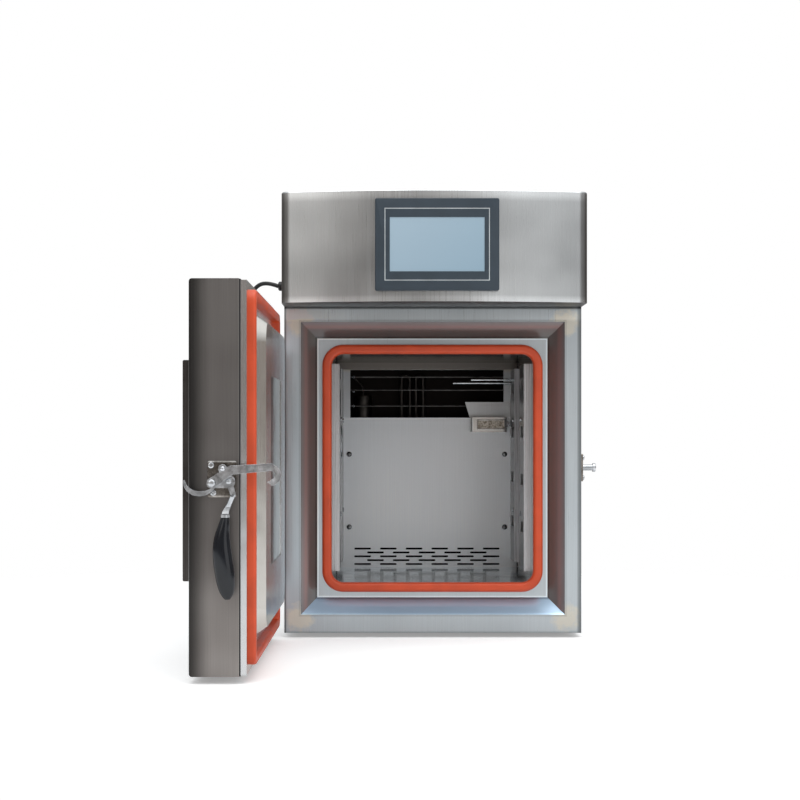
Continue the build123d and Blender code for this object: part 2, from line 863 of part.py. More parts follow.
pieces["power_inlet"] = power_inlet.part

# Rocker of the mains switch, with its two flats
rocker_z = inlet_z + inlet_h / 4
rocker_y = cab_d - 4.0
with BuildPart() as mains_rocker:
    with BuildSketch(side_at(inlet_x - rocker_w / 2)):
        with BuildLine():
            Polyline(
                (rocker_y - 4, rocker_z - 7),
                (rocker_y + 8.5, rocker_z - rocker_h / 2 + 0.9),
                (rocker_y + 6.5, rocker_z),
                (rocker_y + 8.5, rocker_z + rocker_h / 2 - 0.9),
                (rocker_y - 4, rocker_z + 7),
                close=True,
            )
        make_face()
    extrude(amount=rocker_w)
pieces["mains_rocker"] = mains_rocker.part

# Drain spout with a hose barb
with BuildPart() as drain_spout:
    with BuildSketch(front_at(rear_y - drain_len / 2)):
        with Locations((drain_x, drain_z)):
            Circle(drain_r)
    extrude(amount=-(drain_len * 1.5 + rear_t))
    with BuildSketch(front_at(cab_d)):
        with Locations((drain_x, drain_z)):
            Circle(drain_r * 1.6)
    extrude(amount=-3)
    with BuildSketch(front_at(cab_d + drain_len - 5)):
        with Locations((drain_x, drain_z)):
            Circle(drain_r + 1.2)
    with BuildSketch(front_at(cab_d + drain_len)):
        with Locations((drain_x, drain_z)):
            Circle(drain_r - 0.5)
    loft()
    with BuildSketch(front_at(cab_d + drain_len)):
        with Locations((drain_x, drain_z)):
            Circle(drain_r - 2)
    extrude(amount=drain_len, mode=Mode.SUBTRACT)
pieces["drain_spout"] = drain_spout.part

# Hermetic compressor on the cabinet floor
machine_mid = (machine_y + rear_y) / 2
floor_z = foot_h + skin_t
with BuildPart() as compressor:
    with BuildSketch(Plane.XY.offset(floor_z + comp_foot)):
        with Locations((comp_x, machine_mid)):
            Circle(comp_r)
    extrude(amount=comp_h)
    fillet(compressor.edges().filter_by(GeomType.CIRCLE), comp_r * 0.45)
    with BuildSketch(Plane.XY.offset(floor_z + comp_foot)):
        with Locations((comp_x, machine_mid)):
            Rectangle(comp_plate, comp_plate)
    extrude(amount=comp_plate_t)
    with BuildSketch(Plane.XY.offset(floor_z)):
        with Locations((comp_x, machine_mid)):
            with GridLocations(comp_plate - 2 * comp_bolts, comp_plate - 2 * comp_bolts, 2, 2):
                Circle(comp_bolt_r)
    extrude(amount=comp_foot)
pieces["compressor"] = compressor.part

# Condenser block that stands behind the louvres
cond_y = rear_y - cond_back
with BuildPart() as condenser:
    with BuildSketch(front_at(cond_y)):
        with Locations((cond_x, cond_z)):
            Rectangle(cond_w, cond_h)
    extrude(amount=cond_t)
    with BuildSketch(front_at(cond_y)):
        for side in (-1, 1):
            with Locations((cond_x + side * (cond_w - cond_leg) / 2, (floor_z + cond_z - cond_h / 2) / 2)):
                Rectangle(cond_leg, cond_z - cond_h / 2 - floor_z)
    extrude(amount=cond_t)
    with BuildSketch(front_at(cond_y - cond_t)):
        with Locations((cond_x, cond_z)):
            with GridLocations(cond_w / 8, 1, 7, 1):
                Rectangle(cond_w / 20, cond_h - 2 * cond_rim)
    extrude(amount=-cond_groove, mode=Mode.SUBTRACT)
pieces["condenser"] = condenser.part

# Condenser motor on the bulkhead, and its fan
cmotor_end = cond_y - cond_t - blade_gap - cfan_hub_l - cmotor_gap
with BuildPart() as condenser_motor:
    with BuildSketch(front_at(machine_y)):
        with Locations((cond_x, cond_z)):
            Rectangle(cmotor_lug_w, cmotor_lug_h)
    extrude(amount=-comp_plate_t)
    with BuildSketch(front_at(machine_y)):
        with Locations((cond_x, cond_z)):
            Circle(cmotor_r)
    extrude(amount=-(cmotor_end - machine_y))
    with BuildSketch(front_at(cmotor_end)):
        with Locations((cond_x, cond_z)):
            Circle(shaft_d / 2 + shaft_clear)
    extrude(amount=20, mode=Mode.SUBTRACT)
pieces["condenser_motor"] = condenser_motor.part

with BuildPart() as condenser_fan:
    with BuildSketch(front_at(cmotor_end + cmotor_gap)):
        with Locations((cond_x, cond_z)):
            Circle(cfan_hub_r)
    extrude(amount=-cfan_hub_l)
    with BuildSketch(front_at(cmotor_end + cmotor_gap)):
        with Locations((cond_x, cond_z)):
            Circle(shaft_d / 2)
    extrude(amount=22)
    middle = Plane(origin=(cond_x, cmotor_end + cmotor_gap + cfan_hub_l / 2, cond_z), z_dir=(0, -1, 0))
    for k in range(blade_n):
        spoke = middle.rotated((0, 0, 0))
        root = spoke.location * Location((0, 0, 0), (0, 0, 360 / blade_n * k))
        pitch = Plane(root * Location((0, 0, 0), (32, 0, 0)))
        with BuildSketch(pitch):
            with BuildLine():
                Polyline(
                    (cfan_hub_r * 0.8, -10),
                    (blade_r * 0.95, -17),
                    (blade_r, 12),
                    (cfan_hub_r * 0.8, 10),
                    close=True,
                )
            make_face()
        extrude(amount=0.8, both=True)
pieces["condenser_fan"] = condenser_fan.part


def hinge_height(z):
    """The knuckle heights of one hinge: cabinet, door, cabinet."""
    third = (hinge_h - 2 * knuckle_gap) / 3
    return (
        (z, third),
        (z + third + knuckle_gap, third),
        (z + 2 * (third + knuckle_gap), third),
    )


def barrel(radius, z, height):
    """A cylinder round the hinge axis."""
    with BuildPart() as round_bar:
        with BuildSketch(Plane.XY.offset(z)):
            with Locations((hinge_x, hinge_y)):
                Circle(radius)
        extrude(amount=height)
    return round_bar.part


# Cabinet half of the hinges: leaves on the cabinet's left side
leaf_start = knuckle_r + 2.5
with BuildPart() as cabinet_leaves:
    for low in (hinge_low, hinge_high):
        with BuildSketch(side_at(-half_w)):
            with Locations((hinge_y + leaf_start + leaf_w / 2, low + hinge_h / 2)):
                Rectangle(leaf_w, hinge_h)
            for z, height in hinge_height(low)[::2]:
                with Locations((hinge_y + leaf_start / 2, z + height / 2)):
                    Rectangle(leaf_start, height)
        extrude(amount=-leaf_t)
        for z, height in hinge_height(low)[::2]:
            add(barrel(knuckle_r, z, height))
        add(barrel(pin_d / 2 + pin_clear, low, hinge_h), mode=Mode.SUBTRACT)
pieces["cabinet_hinge_leaves"] = cabinet_leaves.part

# Door half of the hinges: leaves on the door's hinge end
with BuildPart() as door_leaves:
    for low in (hinge_low, hinge_high):
        with BuildSketch(edge_at(-door_edge)):
            with Locations((hinge_y - leaf_start - leaf_w / 2, low + hinge_h / 2)):
                Rectangle(leaf_w, hinge_h)
            for z, height in hinge_height(low)[1:2]:
                with Locations((hinge_y - leaf_start / 2, z + height / 2)):
                    Rectangle(leaf_start, height)
        extrude(amount=-leaf_t)
        for z, height in hinge_height(low)[1:2]:
            add(barrel(knuckle_r, z, height))
        add(barrel(pin_d / 2 + pin_clear, low, hinge_h), mode=Mode.SUBTRACT)
pieces["door_hinge_leaves"] = door_leaves.part

with BuildPart() as hinge_pins:
    for low in (hinge_low, hinge_high):
        with BuildSketch(Plane.XY.offset(low)):
            with Locations((hinge_x, hinge_y)):
                Circle(pin_d / 2)
        extrude(amount=hinge_h)
        for z, way in ((low, -1), (low + hinge_h, 1)):
            with BuildSketch(Plane.XY.offset(z)):
                with Locations((hinge_x, hinge_y)):
                    Circle(pin_head_r)
            extrude(amount=way * pin_head_t)
pieces["hinge_pins"] = hinge_pins.part

# Rubber feet
with BuildPart() as feet:
    with BuildSketch():
        with Locations(*foot_places()):
            Circle(foot_r)
    extrude(amount=foot_h)
    chamfer(feet.faces().group_by(Axis.Z)[0].edges(), 2)
pieces["feet"] = feet.part

# Door skin: a folded box, open behind, with the window's hole in its front
with BuildPart() as door_shell:
    with BuildSketch(door_at(door_back)):
        with Locations((0, door_z)):
            Rectangle(door_w, door_h)
    extrude(amount=door_t)
    fillet(door_shell.faces().sort_by(Axis.X)[0].edges(), door_edge_r)
    with BuildSketch(door_at(door_back)):
        with Locations((0, door_z)):
            Rectangle(door_w - 2 * skin_t, door_h - 2 * skin_t)
    extrude(amount=door_t - skin_t - door_edge_r, mode=Mode.SUBTRACT)
    with BuildSketch(door_at(door_front + skin_t + door_edge_r)):
        with Locations((0, door_z)):
            Rectangle(door_w - 2 * (skin_t + door_edge_r), door_h - 2 * (skin_t + door_edge_r))
    extrude(amount=door_edge_r, mode=Mode.SUBTRACT)
    with BuildSketch(door_at(door_back)):
        with Locations((0, win_z)):
            Rectangle(tunnel_w + 2 * tunnel_t, tunnel_h + 2 * tunnel_t)
    extrude(amount=door_t, mode=Mode.SUBTRACT)
pieces["door_shell"] = door_shell.part


def pan_solid(inset):
    """Pan with its raised panel, drawn smaller by inset on every outer face."""
    with BuildPart() as solid:
        with BuildSketch(door_at(door_back)):
            with Locations((0, door_z)):
                Rectangle(door_w - 2 * (pan_inset + inset), door_h - 2 * (pan_inset + inset))
        extrude(amount=-(pan_y - inset - door_back))
        foot = 2 * (raised_splay - inset)
        with BuildSketch(door_at(pan_y - inset)):
            with Locations((0, cav_z)):
                RectangleRounded(raised_w + foot, raised_h + foot, raised_r + foot / 2)
        with BuildSketch(door_at(panel_face - inset)):
            with Locations((0, cav_z)):
                RectangleRounded(raised_w - 2 * inset, raised_h - 2 * inset, raised_r - inset)
        loft()
    return solid.part


# Inner pan of the door, with the raised panel that closes on the cavity seal
outer_pan = pan_solid(0)
inner_pan = pan_solid(door_sheet)
with BuildPart() as door_liner:
    add(outer_pan)
    add(inner_pan, mode=Mode.SUBTRACT)
    with BuildSketch(door_at(door_back)):
        with Locations((0, win_z)):
            Rectangle(tunnel_w, tunnel_h)
    extrude(amount=-(panel_face - door_back), mode=Mode.SUBTRACT)
pieces["door_liner"] = door_liner.part

# Foam inside the door
with BuildPart() as door_insulation:
    add(inner_pan)
    with BuildSketch(door_at(door_back)):
        with Locations((0, door_z)):
            Rectangle(door_w - 2 * skin_t, door_h - 2 * skin_t)
    extrude(amount=door_t - skin_t - door_edge_r)
    with BuildSketch(door_at(door_back)):
        with Locations((0, win_z)):
            Rectangle(tunnel_w + 2 * tunnel_t, tunnel_h + 2 * tunnel_t)
    extrude(amount=door_t, both=True, mode=Mode.SUBTRACT)
pieces["door_insulation"] = door_insulation.part

# Seal round the pan, which closes on the cabinet's rim
with BuildPart() as door_seal:
    with BuildSketch(door_at(pan_y)):
        with Locations((0, door_z)):
            RectangleRounded(door_w - 2 * dseal_inset, door_h - 2 * dseal_inset, dseal_r)
            RectangleRounded(
                door_w - 2 * (dseal_inset + dseal_w),
                door_h - 2 * (dseal_inset + dseal_w),
                dseal_r - dseal_w,
                mode=Mode.SUBTRACT,
            )
    extrude(amount=-dseal_h)
    fillet(door_seal.faces().sort_by(Axis.X)[-1].edges(), dseal_w / 3)
pieces["door_seal"] = door_seal.part

# Window: tunnel through the door, a pane at each end and the frame on the front
with BuildPart() as window_tunnel:
    with BuildSketch(door_at(panel_face - door_sheet)):
        with Locations((0, win_z)):
            Rectangle(tunnel_w + 2 * tunnel_t, tunnel_h + 2 * tunnel_t)
            Rectangle(tunnel_w, tunnel_h, mode=Mode.SUBTRACT)
    extrude(amount=panel_face - door_sheet - door_front)
pieces["window_tunnel"] = window_tunnel.part

with BuildPart() as window_frame:
    with BuildSketch(door_at(door_front)):
        with Locations((0, win_z)):
            Rectangle(win_w, win_h)
            Rectangle(tunnel_w, tunnel_h, mode=Mode.SUBTRACT)
    extrude(amount=win_out)
    fillet(window_frame.faces().sort_by(Axis.X)[0].outer_wire().edges(), win_edge_r)
    with BuildSketch(door_at(door_front)):
        with Locations((0, win_z)):
            Rectangle(tunnel_w + win_rim, tunnel_h + win_rim)
    extrude(amount=pane_t + pane_clear, mode=Mode.SUBTRACT)
pieces["window_frame"] = window_frame.part

with BuildPart() as outer_pane:
    with BuildSketch(door_at(door_front)):
        with Locations((0, win_z)):
            Rectangle(tunnel_w + win_rim - pane_clear, tunnel_h + win_rim - pane_clear)
    extrude(amount=pane_t)
pieces["outer_pane"] = outer_pane.part

with BuildPart() as inner_pane:
    with BuildSketch(door_at(panel_face - door_sheet)):
        with Locations((0, win_z)):
            Rectangle(tunnel_w - pane_clear, tunnel_h - pane_clear)
    extrude(amount=pane_t)
pieces["inner_pane"] = inner_pane.part

# Latch plate with the bolt that carries the lever
with BuildPart() as latch_plate:
    with BuildSketch(edge_at(door_edge)):
        with Locations((plate_y, plate_z)):
            RectangleRounded(plate_w, plate_h, 2.5)
    extrude(amount=plate_t)
    with BuildSketch(edge_at(door_edge + plate_t)):
        with Locations((pivot_y, pivot_z)):
            Circle(hub_r - 1)
    extrude(amount=lever_gap - 0.3)
pieces["latch_plate"] = latch_plate.part

with BuildPart() as latch_bolt:
    with BuildSketch(edge_at(lever_x - 0.3)):
        with Locations((pivot_y, pivot_z)):
            Circle(bolt_d / 2)
    extrude(amount=lever_t + 0.6)
    with BuildSketch(edge_at(lever_x + lever_t + 0.3)):
        with Locations((pivot_y, pivot_z)):
            Circle(bolt_head_r)
    extrude(amount=bolt_head_t)
pieces["latch_bolt"] = latch_bolt.part

# Latch lever: hub, crank arm and a neck that cranks outwards to the grip
with BuildPart() as latch_lever:
    with BuildSketch(edge_at(lever_x)):
        with Locations((pivot_y, pivot_z)):
            Circle(hub_r)
        with Locations((crank_y, crank_z)):
            Circle(crank_r)
        make_hull()
    extrude(amount=lever_t)
    with BuildSketch(edge_at(lever_x)) as neck:
        with Locations((pivot_y, pivot_z)):
            Circle(hub_r * 0.55)
        with Locations((neck_y, neck_z)):
            Circle(neck_r)
        make_hull()
    extrude(amount=lever_t)
    with BuildSketch(Plane.XY.offset(neck_z)):
        with Locations(swung(lever_x + lever_t / 2, neck_y)):
            Rectangle(2 * neck_r - 0.5, lever_t - 0.4)
    with BuildSketch(Plane.XY.offset(collar_z)):
        with Locations(swung(door_edge + grip_out, grip_sections[0][1])):
            Rectangle(2 * neck_r - 2, 2 * neck_r - 3)
    loft()
    with BuildSketch(Plane.XY.offset(collar_z)):
        with Locations(swung(door_edge + grip_out, grip_sections[0][1])):
            Circle(collar_r)
    extrude(amount=-collar_h)
    with BuildSketch(edge_at(lever_x)):
        with Locations((pivot_y, pivot_z)):
            Circle(bolt_d / 2 + pin_clear)
        with Locations((crank_y, crank_z)):
            Circle(rivet_d / 2 + pin_clear)
    extrude(amount=lever_t, mode=Mode.SUBTRACT)
pieces["latch_lever"] = latch_lever.part

# Moulded grip, swelling towards the hand
with BuildPart() as latch_grip:
    for z, y, half, deep in grip_sections:
        with BuildSketch(Plane.XY.offset(z)):
            with Locations(swung(door_edge + grip_out, y)):
                Ellipse(half, deep)
    loft()
pieces["latch_grip"] = latch_grip.part

# Rivet that carries the hook on the crank
with BuildPart() as hook_rivet:
    with BuildSketch(edge_at(lever_x - 0.8)):
        with Locations((crank_y, crank_z)):
            Circle(rivet_head_r)
    extrude(amount=0.8)
    with BuildSketch(edge_at(lever_x)):
        with Locations((crank_y, crank_z)):
            Circle(rivet_d / 2)
    extrude(amount=lever_t + hook_gap + hook_t + 0.4)
    with BuildSketch(edge_at(hook_x + hook_t + 0.4)):
        with Locations((crank_y, crank_z)):
            Circle(rivet_head_r)
    extrude(amount=rivet_head_t)
pieces["hook_rivet"] = hook_rivet.part

# Hook: beak round the strike pin, straight arm, and a tapered tail for the thumb
throat_r = strike_d / 2 + throat_clear
curl_r = throat_r + curl_t / 2
with BuildPart() as latch_hook:
    with BuildSketch(edge_at(hook_x)):
        with Locations((crank_y, crank_z)):
            Circle(crank_r)
        with Locations((arm_y, arm_z)):
            Circle(arm_r)
        make_hull()
    extrude(amount=hook_t)
    with BuildSketch(edge_at(hook_x)):
        with Locations((arm_y, arm_z)):
            Circle(arm_r)
        with Locations((strike_y, strike_z)):
            with Locations((0, curl_r + 0.9)):
                Circle(curl_t / 2 + 0.9)
        make_hull()
    extrude(amount=hook_t)
    with BuildSketch(edge_at(hook_x)):
        with Locations((strike_y, strike_z)):
            Circle(curl_r + curl_t / 2)
            Circle(throat_r, mode=Mode.SUBTRACT)
            with Locations((-curl_r, -curl_r)):
                Rectangle(2 * curl_r, 4 * curl_r, mode=Mode.SUBTRACT)
        with BuildLine():
            Spline(
                (strike_y + throat_r * 0.55, strike_z - throat_r * 0.86),
                (strike_y - beak_tip_r, strike_z - throat_r - 2.6),
                (strike_y - 3 * beak_tip_r, strike_z - throat_r - 3.0),
            )
            Spline(
                (strike_y - 3 * beak_tip_r, strike_z - throat_r - 3.0),
                (strike_y + beak_tip_r, strike_z - throat_r - 6.4),
                (strike_y + curl_r + curl_t / 2 - 1.5, strike_z - throat_r * 0.9),
            )
            Line(
                (strike_y + curl_r + curl_t / 2 - 1.5, strike_z - throat_r * 0.9),
                (strike_y + throat_r * 0.55, strike_z - throat_r * 0.86),
            )
        make_face()
    extrude(amount=hook_t)
    with BuildSketch(edge_at(hook_x)):
        with BuildLine():
            Spline(
                (crank_y + 2, crank_z - 5),
                (crank_y - 10, crank_z - 10.6),
                (crank_y - 21, crank_z - 10.8),
                (crank_y - 37, crank_z + 4.5),
            )
            Line((crank_y - 37, crank_z + 4.5), (crank_y - 37 - tail_tip_t, crank_z + 3.2))
            Spline(
                (crank_y - 37 - tail_tip_t, crank_z + 3.2),
                (crank_y - 23, crank_z - 10.8 - tail_t),
                (crank_y - 10, crank_z - 10.6 - tail_t),
                (crank_y + crank_r - 0.4, crank_z - 1),
            )
            Line((crank_y + crank_r - 0.4, crank_z - 1), (crank_y + 2, crank_z - 5))
        make_face()
    extrude(amount=hook_t)
    with BuildSketch(edge_at(hook_x)):
        with Locations((crank_y, crank_z)):
            Circle(rivet_d / 2 + pin_clear)
    extrude(amount=hook_t, mode=Mode.SUBTRACT)
pieces["latch_hook"] = latch_hook.part

# Strike plate and pin on the cabinet's right side
with BuildPart() as strike_plate:
    with BuildSketch(side_at(half_w)):
        with Locations((strike_y + face_t, strike_z)):
            RectangleRounded(strike_w, strike_h, 2.5)
    extrude(amount=strike_t)
pieces["strike_plate"] = strike_plate.part

with BuildPart() as strike_pin:
    with BuildSketch(side_at(half_w + strike_t)):
        with Locations((strike_y, strike_z)):
            Circle(strike_d / 2)
    extrude(amount=strike_out - strike_t - strike_head_t)
    with BuildSketch(side_at(half_w + strike_out - strike_head_t)):
        with Locations((strike_y, strike_z)):
            Circle(strike_head_r)
    extrude(amount=strike_head_t)
    chamfer(strike_pin.faces().sort_by(Axis.X)[-1].edges(), 1.2)
pieces["strike_pin"] = strike_pin.part


def gland(start, way):
    """Cable gland that stands on a wall at start and points along way."""
    with BuildPart() as body:
        with BuildSketch(Plane(origin=start, z_dir=way)):
            Circle(gland_base_r)
        extrude(amount=gland_base)
        with BuildSketch(Plane(origin=start, z_dir=way)):
            Circle(gland_r)
        extrude(amount=gland_len)
        tip = body.faces().filter_by(Plane(origin=start, z_dir=way)).sort_by(
            lambda f: (f.center() - Vector(*start)).dot(Vector(*way))
        )[-1]
        chamfer(tip.edges(), 2)
    return body.part


door_exit = (*swung(-door_edge, door_gland_y), door_gland_z)
head_exit = (-half_w, head_gland_y, head_gland_z)
pieces["door_gland"] = gland(door_exit, (0, 1, 0))
pieces["header_gland"] = gland(head_exit, (-1, 0, 0))

# Door cable: straight runs joined by arcs, from gland to gland
cable_points = [
    Vector(*turned(door_exit[0], door_exit[1] + gland_len), door_gland_z),
    Vector(*turned(door_exit[0], 33), door_gland_z),
    Vector(-half_w - 69, 55, 531),
    Vector(-half_w - 68, 54, 567),
    Vector(-half_w - 57, 44, 596),
    Vector(-half_w - 35, 34, 609),
    Vector(head_exit[0] - gland_len, head_gland_y, head_gland_z),
]
radii = []
for before, corner, after in zip(cable_points, cable_points[1:], cable_points[2:]):
    a, b = corner - before, after - corner
    turn = a.get_angle(b)
    radii.append(0.45 * min(a.length, b.length) / tan(turn / 2 * 3.14159265 / 180))
print("cable radii", [round(r, 1) for r in radii])
with BuildPart() as door_cable:
    with BuildLine():
        route = FilletPolyline(*cable_points, radius=radii)
    with BuildSketch(Plane(origin=route @ 0, z_dir=route % 0)):
        Circle(cable_d / 2)
    sweep()
print("cable length", round(route.length, 1))
pieces["door_cable"] = door_cable.part

# The door and all it carries stand a little past square
door_pieces = (
    "door_shell door_liner door_insulation door_seal window_tunnel window_frame outer_pane inner_pane "
    "door_hinge_leaves door_gland latch_plate latch_bolt latch_lever latch_grip hook_rivet latch_hook"
).split()
for name in door_pieces:
    pieces[name] = pieces[name].rotate(Axis((hinge_x, hinge_y, 0), (0, 0, 1)), -extra_open)

# The finished frame: the origin is below the middle of everything, on the bench
boxes = [piece.bounding_box() for piece in pieces.values()]
mid_x = (min(b.min.X for b in boxes) + max(b.max.X for b in boxes)) / 2
mid_y = (min(b.min.Y for b in boxes) + max(b.max.Y for b in boxes)) / 2
print("frame shift", round(-mid_x, 4), round(-mid_y, 4), "pieces", len(pieces))

os.makedirs("parts", exist_ok=True)
for name, piece in pieces.items():
    placed = piece.moved(Location((-mid_x, -mid_y, 0)))
    placed.label = name
    export_step(placed, f"parts/{name}.step")
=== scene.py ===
# %% [markdown]
# A benchtop environmental test chamber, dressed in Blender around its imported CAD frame.
# Each step says what a piece or a finish is on the real chamber and why it is made this way.

# %% Load the frame
import bpy, math
from mathutils import Vector, Matrix


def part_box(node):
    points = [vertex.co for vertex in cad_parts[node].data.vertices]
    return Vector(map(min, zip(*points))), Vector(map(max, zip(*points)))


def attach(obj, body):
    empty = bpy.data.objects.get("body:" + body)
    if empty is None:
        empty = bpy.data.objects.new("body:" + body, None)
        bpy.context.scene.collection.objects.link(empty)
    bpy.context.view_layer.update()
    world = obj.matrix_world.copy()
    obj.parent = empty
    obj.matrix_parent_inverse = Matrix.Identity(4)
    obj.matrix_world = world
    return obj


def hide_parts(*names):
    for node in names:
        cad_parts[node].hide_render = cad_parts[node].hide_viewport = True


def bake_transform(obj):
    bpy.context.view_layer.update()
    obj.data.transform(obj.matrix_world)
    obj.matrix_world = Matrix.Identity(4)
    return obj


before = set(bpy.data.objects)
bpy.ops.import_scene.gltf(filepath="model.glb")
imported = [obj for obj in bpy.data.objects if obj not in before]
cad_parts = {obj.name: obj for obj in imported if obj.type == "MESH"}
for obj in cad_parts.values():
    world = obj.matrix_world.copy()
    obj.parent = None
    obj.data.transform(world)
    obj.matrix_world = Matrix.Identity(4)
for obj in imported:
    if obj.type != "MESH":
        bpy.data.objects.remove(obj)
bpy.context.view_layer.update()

# %% [markdown]
# The CAD model was drawn from the foot of the cabinet's front face, at its middle, and packed
# with its origin below the middle of everything. One helper turns the drawn millimetres into the
# frame's metres, so that every place below can be read off the drawing. A second one takes
# a place on the shut door, and swings it to where the open door carries it.

# %% Drawn millimetres to frame metres
rim_low, rim_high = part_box("front_frame")
SHIFT = Vector(((rim_low.x + rim_high.x) / 2, rim_low.y, 0))
HINGE = Vector((-264.5, -8, 0))
PAST_SQUARE = math.radians(0.5)


def at(x, y, z):
    """A point of the drawing, in metres in the frame."""
    return Vector((x, y, z)) / 1000 + SHIFT


def swung(x, y, z):
    """A point given in the shut door's numbers, where the open door carries it."""
    arm = Vector((y - HINGE.y, HINGE.x - x, 0))
    arm.rotate(Matrix.Rotation(-PAST_SQUARE, 3, "Z"))
    return at(HINGE.x + arm.x, HINGE.y + arm.y, z)


print("shift", tuple(round(v, 4) for v in SHIFT))

# %% [markdown]
# The photograph was taken square on, a little above the middle of the test space, with a
# short telephoto lens. The seal, the header and the open door each fix one scale, which
# together give the distance. The lens is shifted, as a view camera's is, because the
# chamber stands off the picture's middle and its uprights still stay parallel.

# %% Camera
FILM_MM, LENS_MM = 36, 73.4
PICTURE_PX, RIGHT_PX, UP_PX = 800, 19.25, 37
EYE = at(-88.5, -2773, 341)
lens = bpy.data.cameras.new("photo_camera")
lens.sensor_width = FILM_MM
lens.lens = LENS_MM
lens.shift_x = RIGHT_PX / PICTURE_PX
lens.shift_y = UP_PX / PICTURE_PX
lens.clip_end = 50
camera = bpy.data.objects.new("photo_camera", lens)
camera.location = EYE
camera.rotation_euler = (math.radians(90), 0, 0)
bpy.context.collection.objects.link(camera)
bpy.context.scene.camera = camera
bpy.context.scene.view_settings.view_transform = "Standard"
print("camera at", tuple(round(v, 3) for v in camera.location))

# %% [markdown]
# A material is a tree of nodes, which is long to write one call at a time. So a helper adds
# a node and gives each of its inputs either a plain value or another node's socket. The
# others are short names for the nodes that come back most: maths, ranges, noise and mixes.

# %% Node helpers


def wire(tree, made, inputs):
    """Gives each named input of a node its plain value, or a link where it gets a socket."""
    for key, given in inputs.items():
        if isinstance(given, bpy.types.NodeSocket):
            tree.links.new(given, made.inputs[key])
        else:
            made.inputs[key].default_value = given


def node(tree, kind, inputs=None, **props):
    """Adds a node, sets its properties and wires its inputs."""
    made = tree.nodes.new(kind)
    for key, value in props.items():
        setattr(made, key, value)
    wire(tree, made, inputs or {})
    return made


def calc(tree, operation, *given):
    """A sum on numbers."""
    return node(tree, "ShaderNodeMath", dict(enumerate(given)), operation=operation).outputs[0]


def vector(tree, operation, *given):
    """A sum on vectors."""
    made = node(tree, "ShaderNodeVectorMath", dict(enumerate(given)), operation=operation)
    return made.outputs["Value" if operation == "LENGTH" else "Vector"]


def scaled(tree, colour, factor):
    """A colour, brighter or darker by a factor."""
    return node(tree, "ShaderNodeVectorMath", {0: colour, "Scale": factor}, operation="SCALE").outputs[0]


def remap(tree, value, low, high, to_low=0.0, to_high=1.0, **props):
    """Carries a value from the span low to high onto another span, and holds it there."""
    spans = {"Value": value, "From Min": low, "From Max": high, "To Min": to_low, "To Max": to_high}
    return node(tree, "ShaderNodeMapRange", spans, **props).outputs[0]


def noise(tree, place, scale, detail, roughness=0.5, distortion=0.0):
    """Soft noise from 0 to 1 over a place."""
    look = {"Vector": place, "Scale": scale, "Detail": detail, "Roughness": roughness,
            "Distortion": distortion}
    return node(tree, "ShaderNodeTexNoise", look).outputs["Fac"]


def mixed(tree, factor, first, second):
    """A colour that goes from first to second as factor goes from 0 to 1."""
    made = node(tree, "ShaderNodeMix", {"Factor": factor, "A": first, "B": second}, data_type="RGBA")
    return made.outputs["Result"]


def axes_of(tree, place):
    """The X, Y and Z of a vector."""
    return node(tree, "ShaderNodeSeparateXYZ", {"Vector": place}).outputs


def grey(v):
    """A colour with no hue."""
    return (v, v, v)


def ramp(tree, factor, stops):
    """A colour ramp through the given (place, colour or grey) stops."""
    made = node(tree, "ShaderNodeValToRGB", {"Fac": factor})
    bar = made.color_ramp
    while len(bar.elements) < len(stops):
        bar.elements.new(0.5)
    for element, (place, colour) in zip(bar.elements, stops):
        element.position = place
        element.color = (*(colour if isinstance(colour, tuple) else grey(colour)), 1)
    return made.outputs["Color"]


def new_material(name):
    """A new material, its tree and its shader."""
    made = bpy.data.materials.new(name)
    made.use_nodes = True
    return made, made.node_tree, made.node_tree.nodes["Principled BSDF"]


def opened(material):
    """A finished material's tree, shader and colour socket, and coordinates to work with."""
    tree = material.node_tree
    shader = tree.nodes["Principled BSDF"]
    base = shader.inputs["Base Color"].links[0].from_socket
    return tree, shader, base, node(tree, "ShaderNodeTexCoord").outputs


print("node helpers ready")

# %% [markdown]
# Brushed sheet is the main finish. An abrasive belt leaves long parallel scratches, so the
# grain is noise that is fine across the belt and stretched along it. Over it lie wide soft
# clouds, left by hands and by the belt's pressure, and here and there a longer scratch. One
# node group makes the masks, and each steel mixes them into its own colours.

# %% Group: grain, clouds and scratches
grain_group = bpy.data.node_groups.new("brushed_grain", "ShaderNodeTree")
for name, default in (("Across", 1800.0), ("Along", 8.0), ("Cloud", 3.0)):
    made = grain_group.interface.new_socket(name, in_out="INPUT", socket_type="NodeSocketFloat")
    made.default_value = default
for name in ("Grain", "Clouds", "Scratches"):
    grain_group.interface.new_socket(name, in_out="OUTPUT", socket_type="NodeSocketFloat")
tree = grain_group
given = node(tree, "NodeGroupInput").outputs
coords = node(tree, "ShaderNodeTexCoord").outputs
scale = node(tree, "ShaderNodeCombineXYZ", {"X": given["Across"], "Y": given["Across"], "Z": given["Along"]})
stretched = vector(tree, "MULTIPLY", coords["Object"], scale.outputs[0])
grain = noise(tree, stretched, 1.0, 3.0, roughness=0.6)
clouds = noise(tree, coords["Object"], given["Cloud"], 2.0)
rare = noise(tree, vector(tree, "MULTIPLY", stretched, (0.12, 0.12, 0.3)), 1.0, 1.0)
scratches = remap(tree, rare, 0.66, 0.72)
node(tree, "NodeGroupOutput", {"Grain": grain, "Clouds": clouds, "Scratches": scratches})
print("group", grain_group.name)

# %% [markdown]
# A steel is that group with a dark and a light tone for its clouds, a little of the grain
# in the colour, and a roughness that the grain and the scratches shift. The grain also
# goes into a faint bump, which stretches the highlights across it.

# %% A steel, and the outside sheets


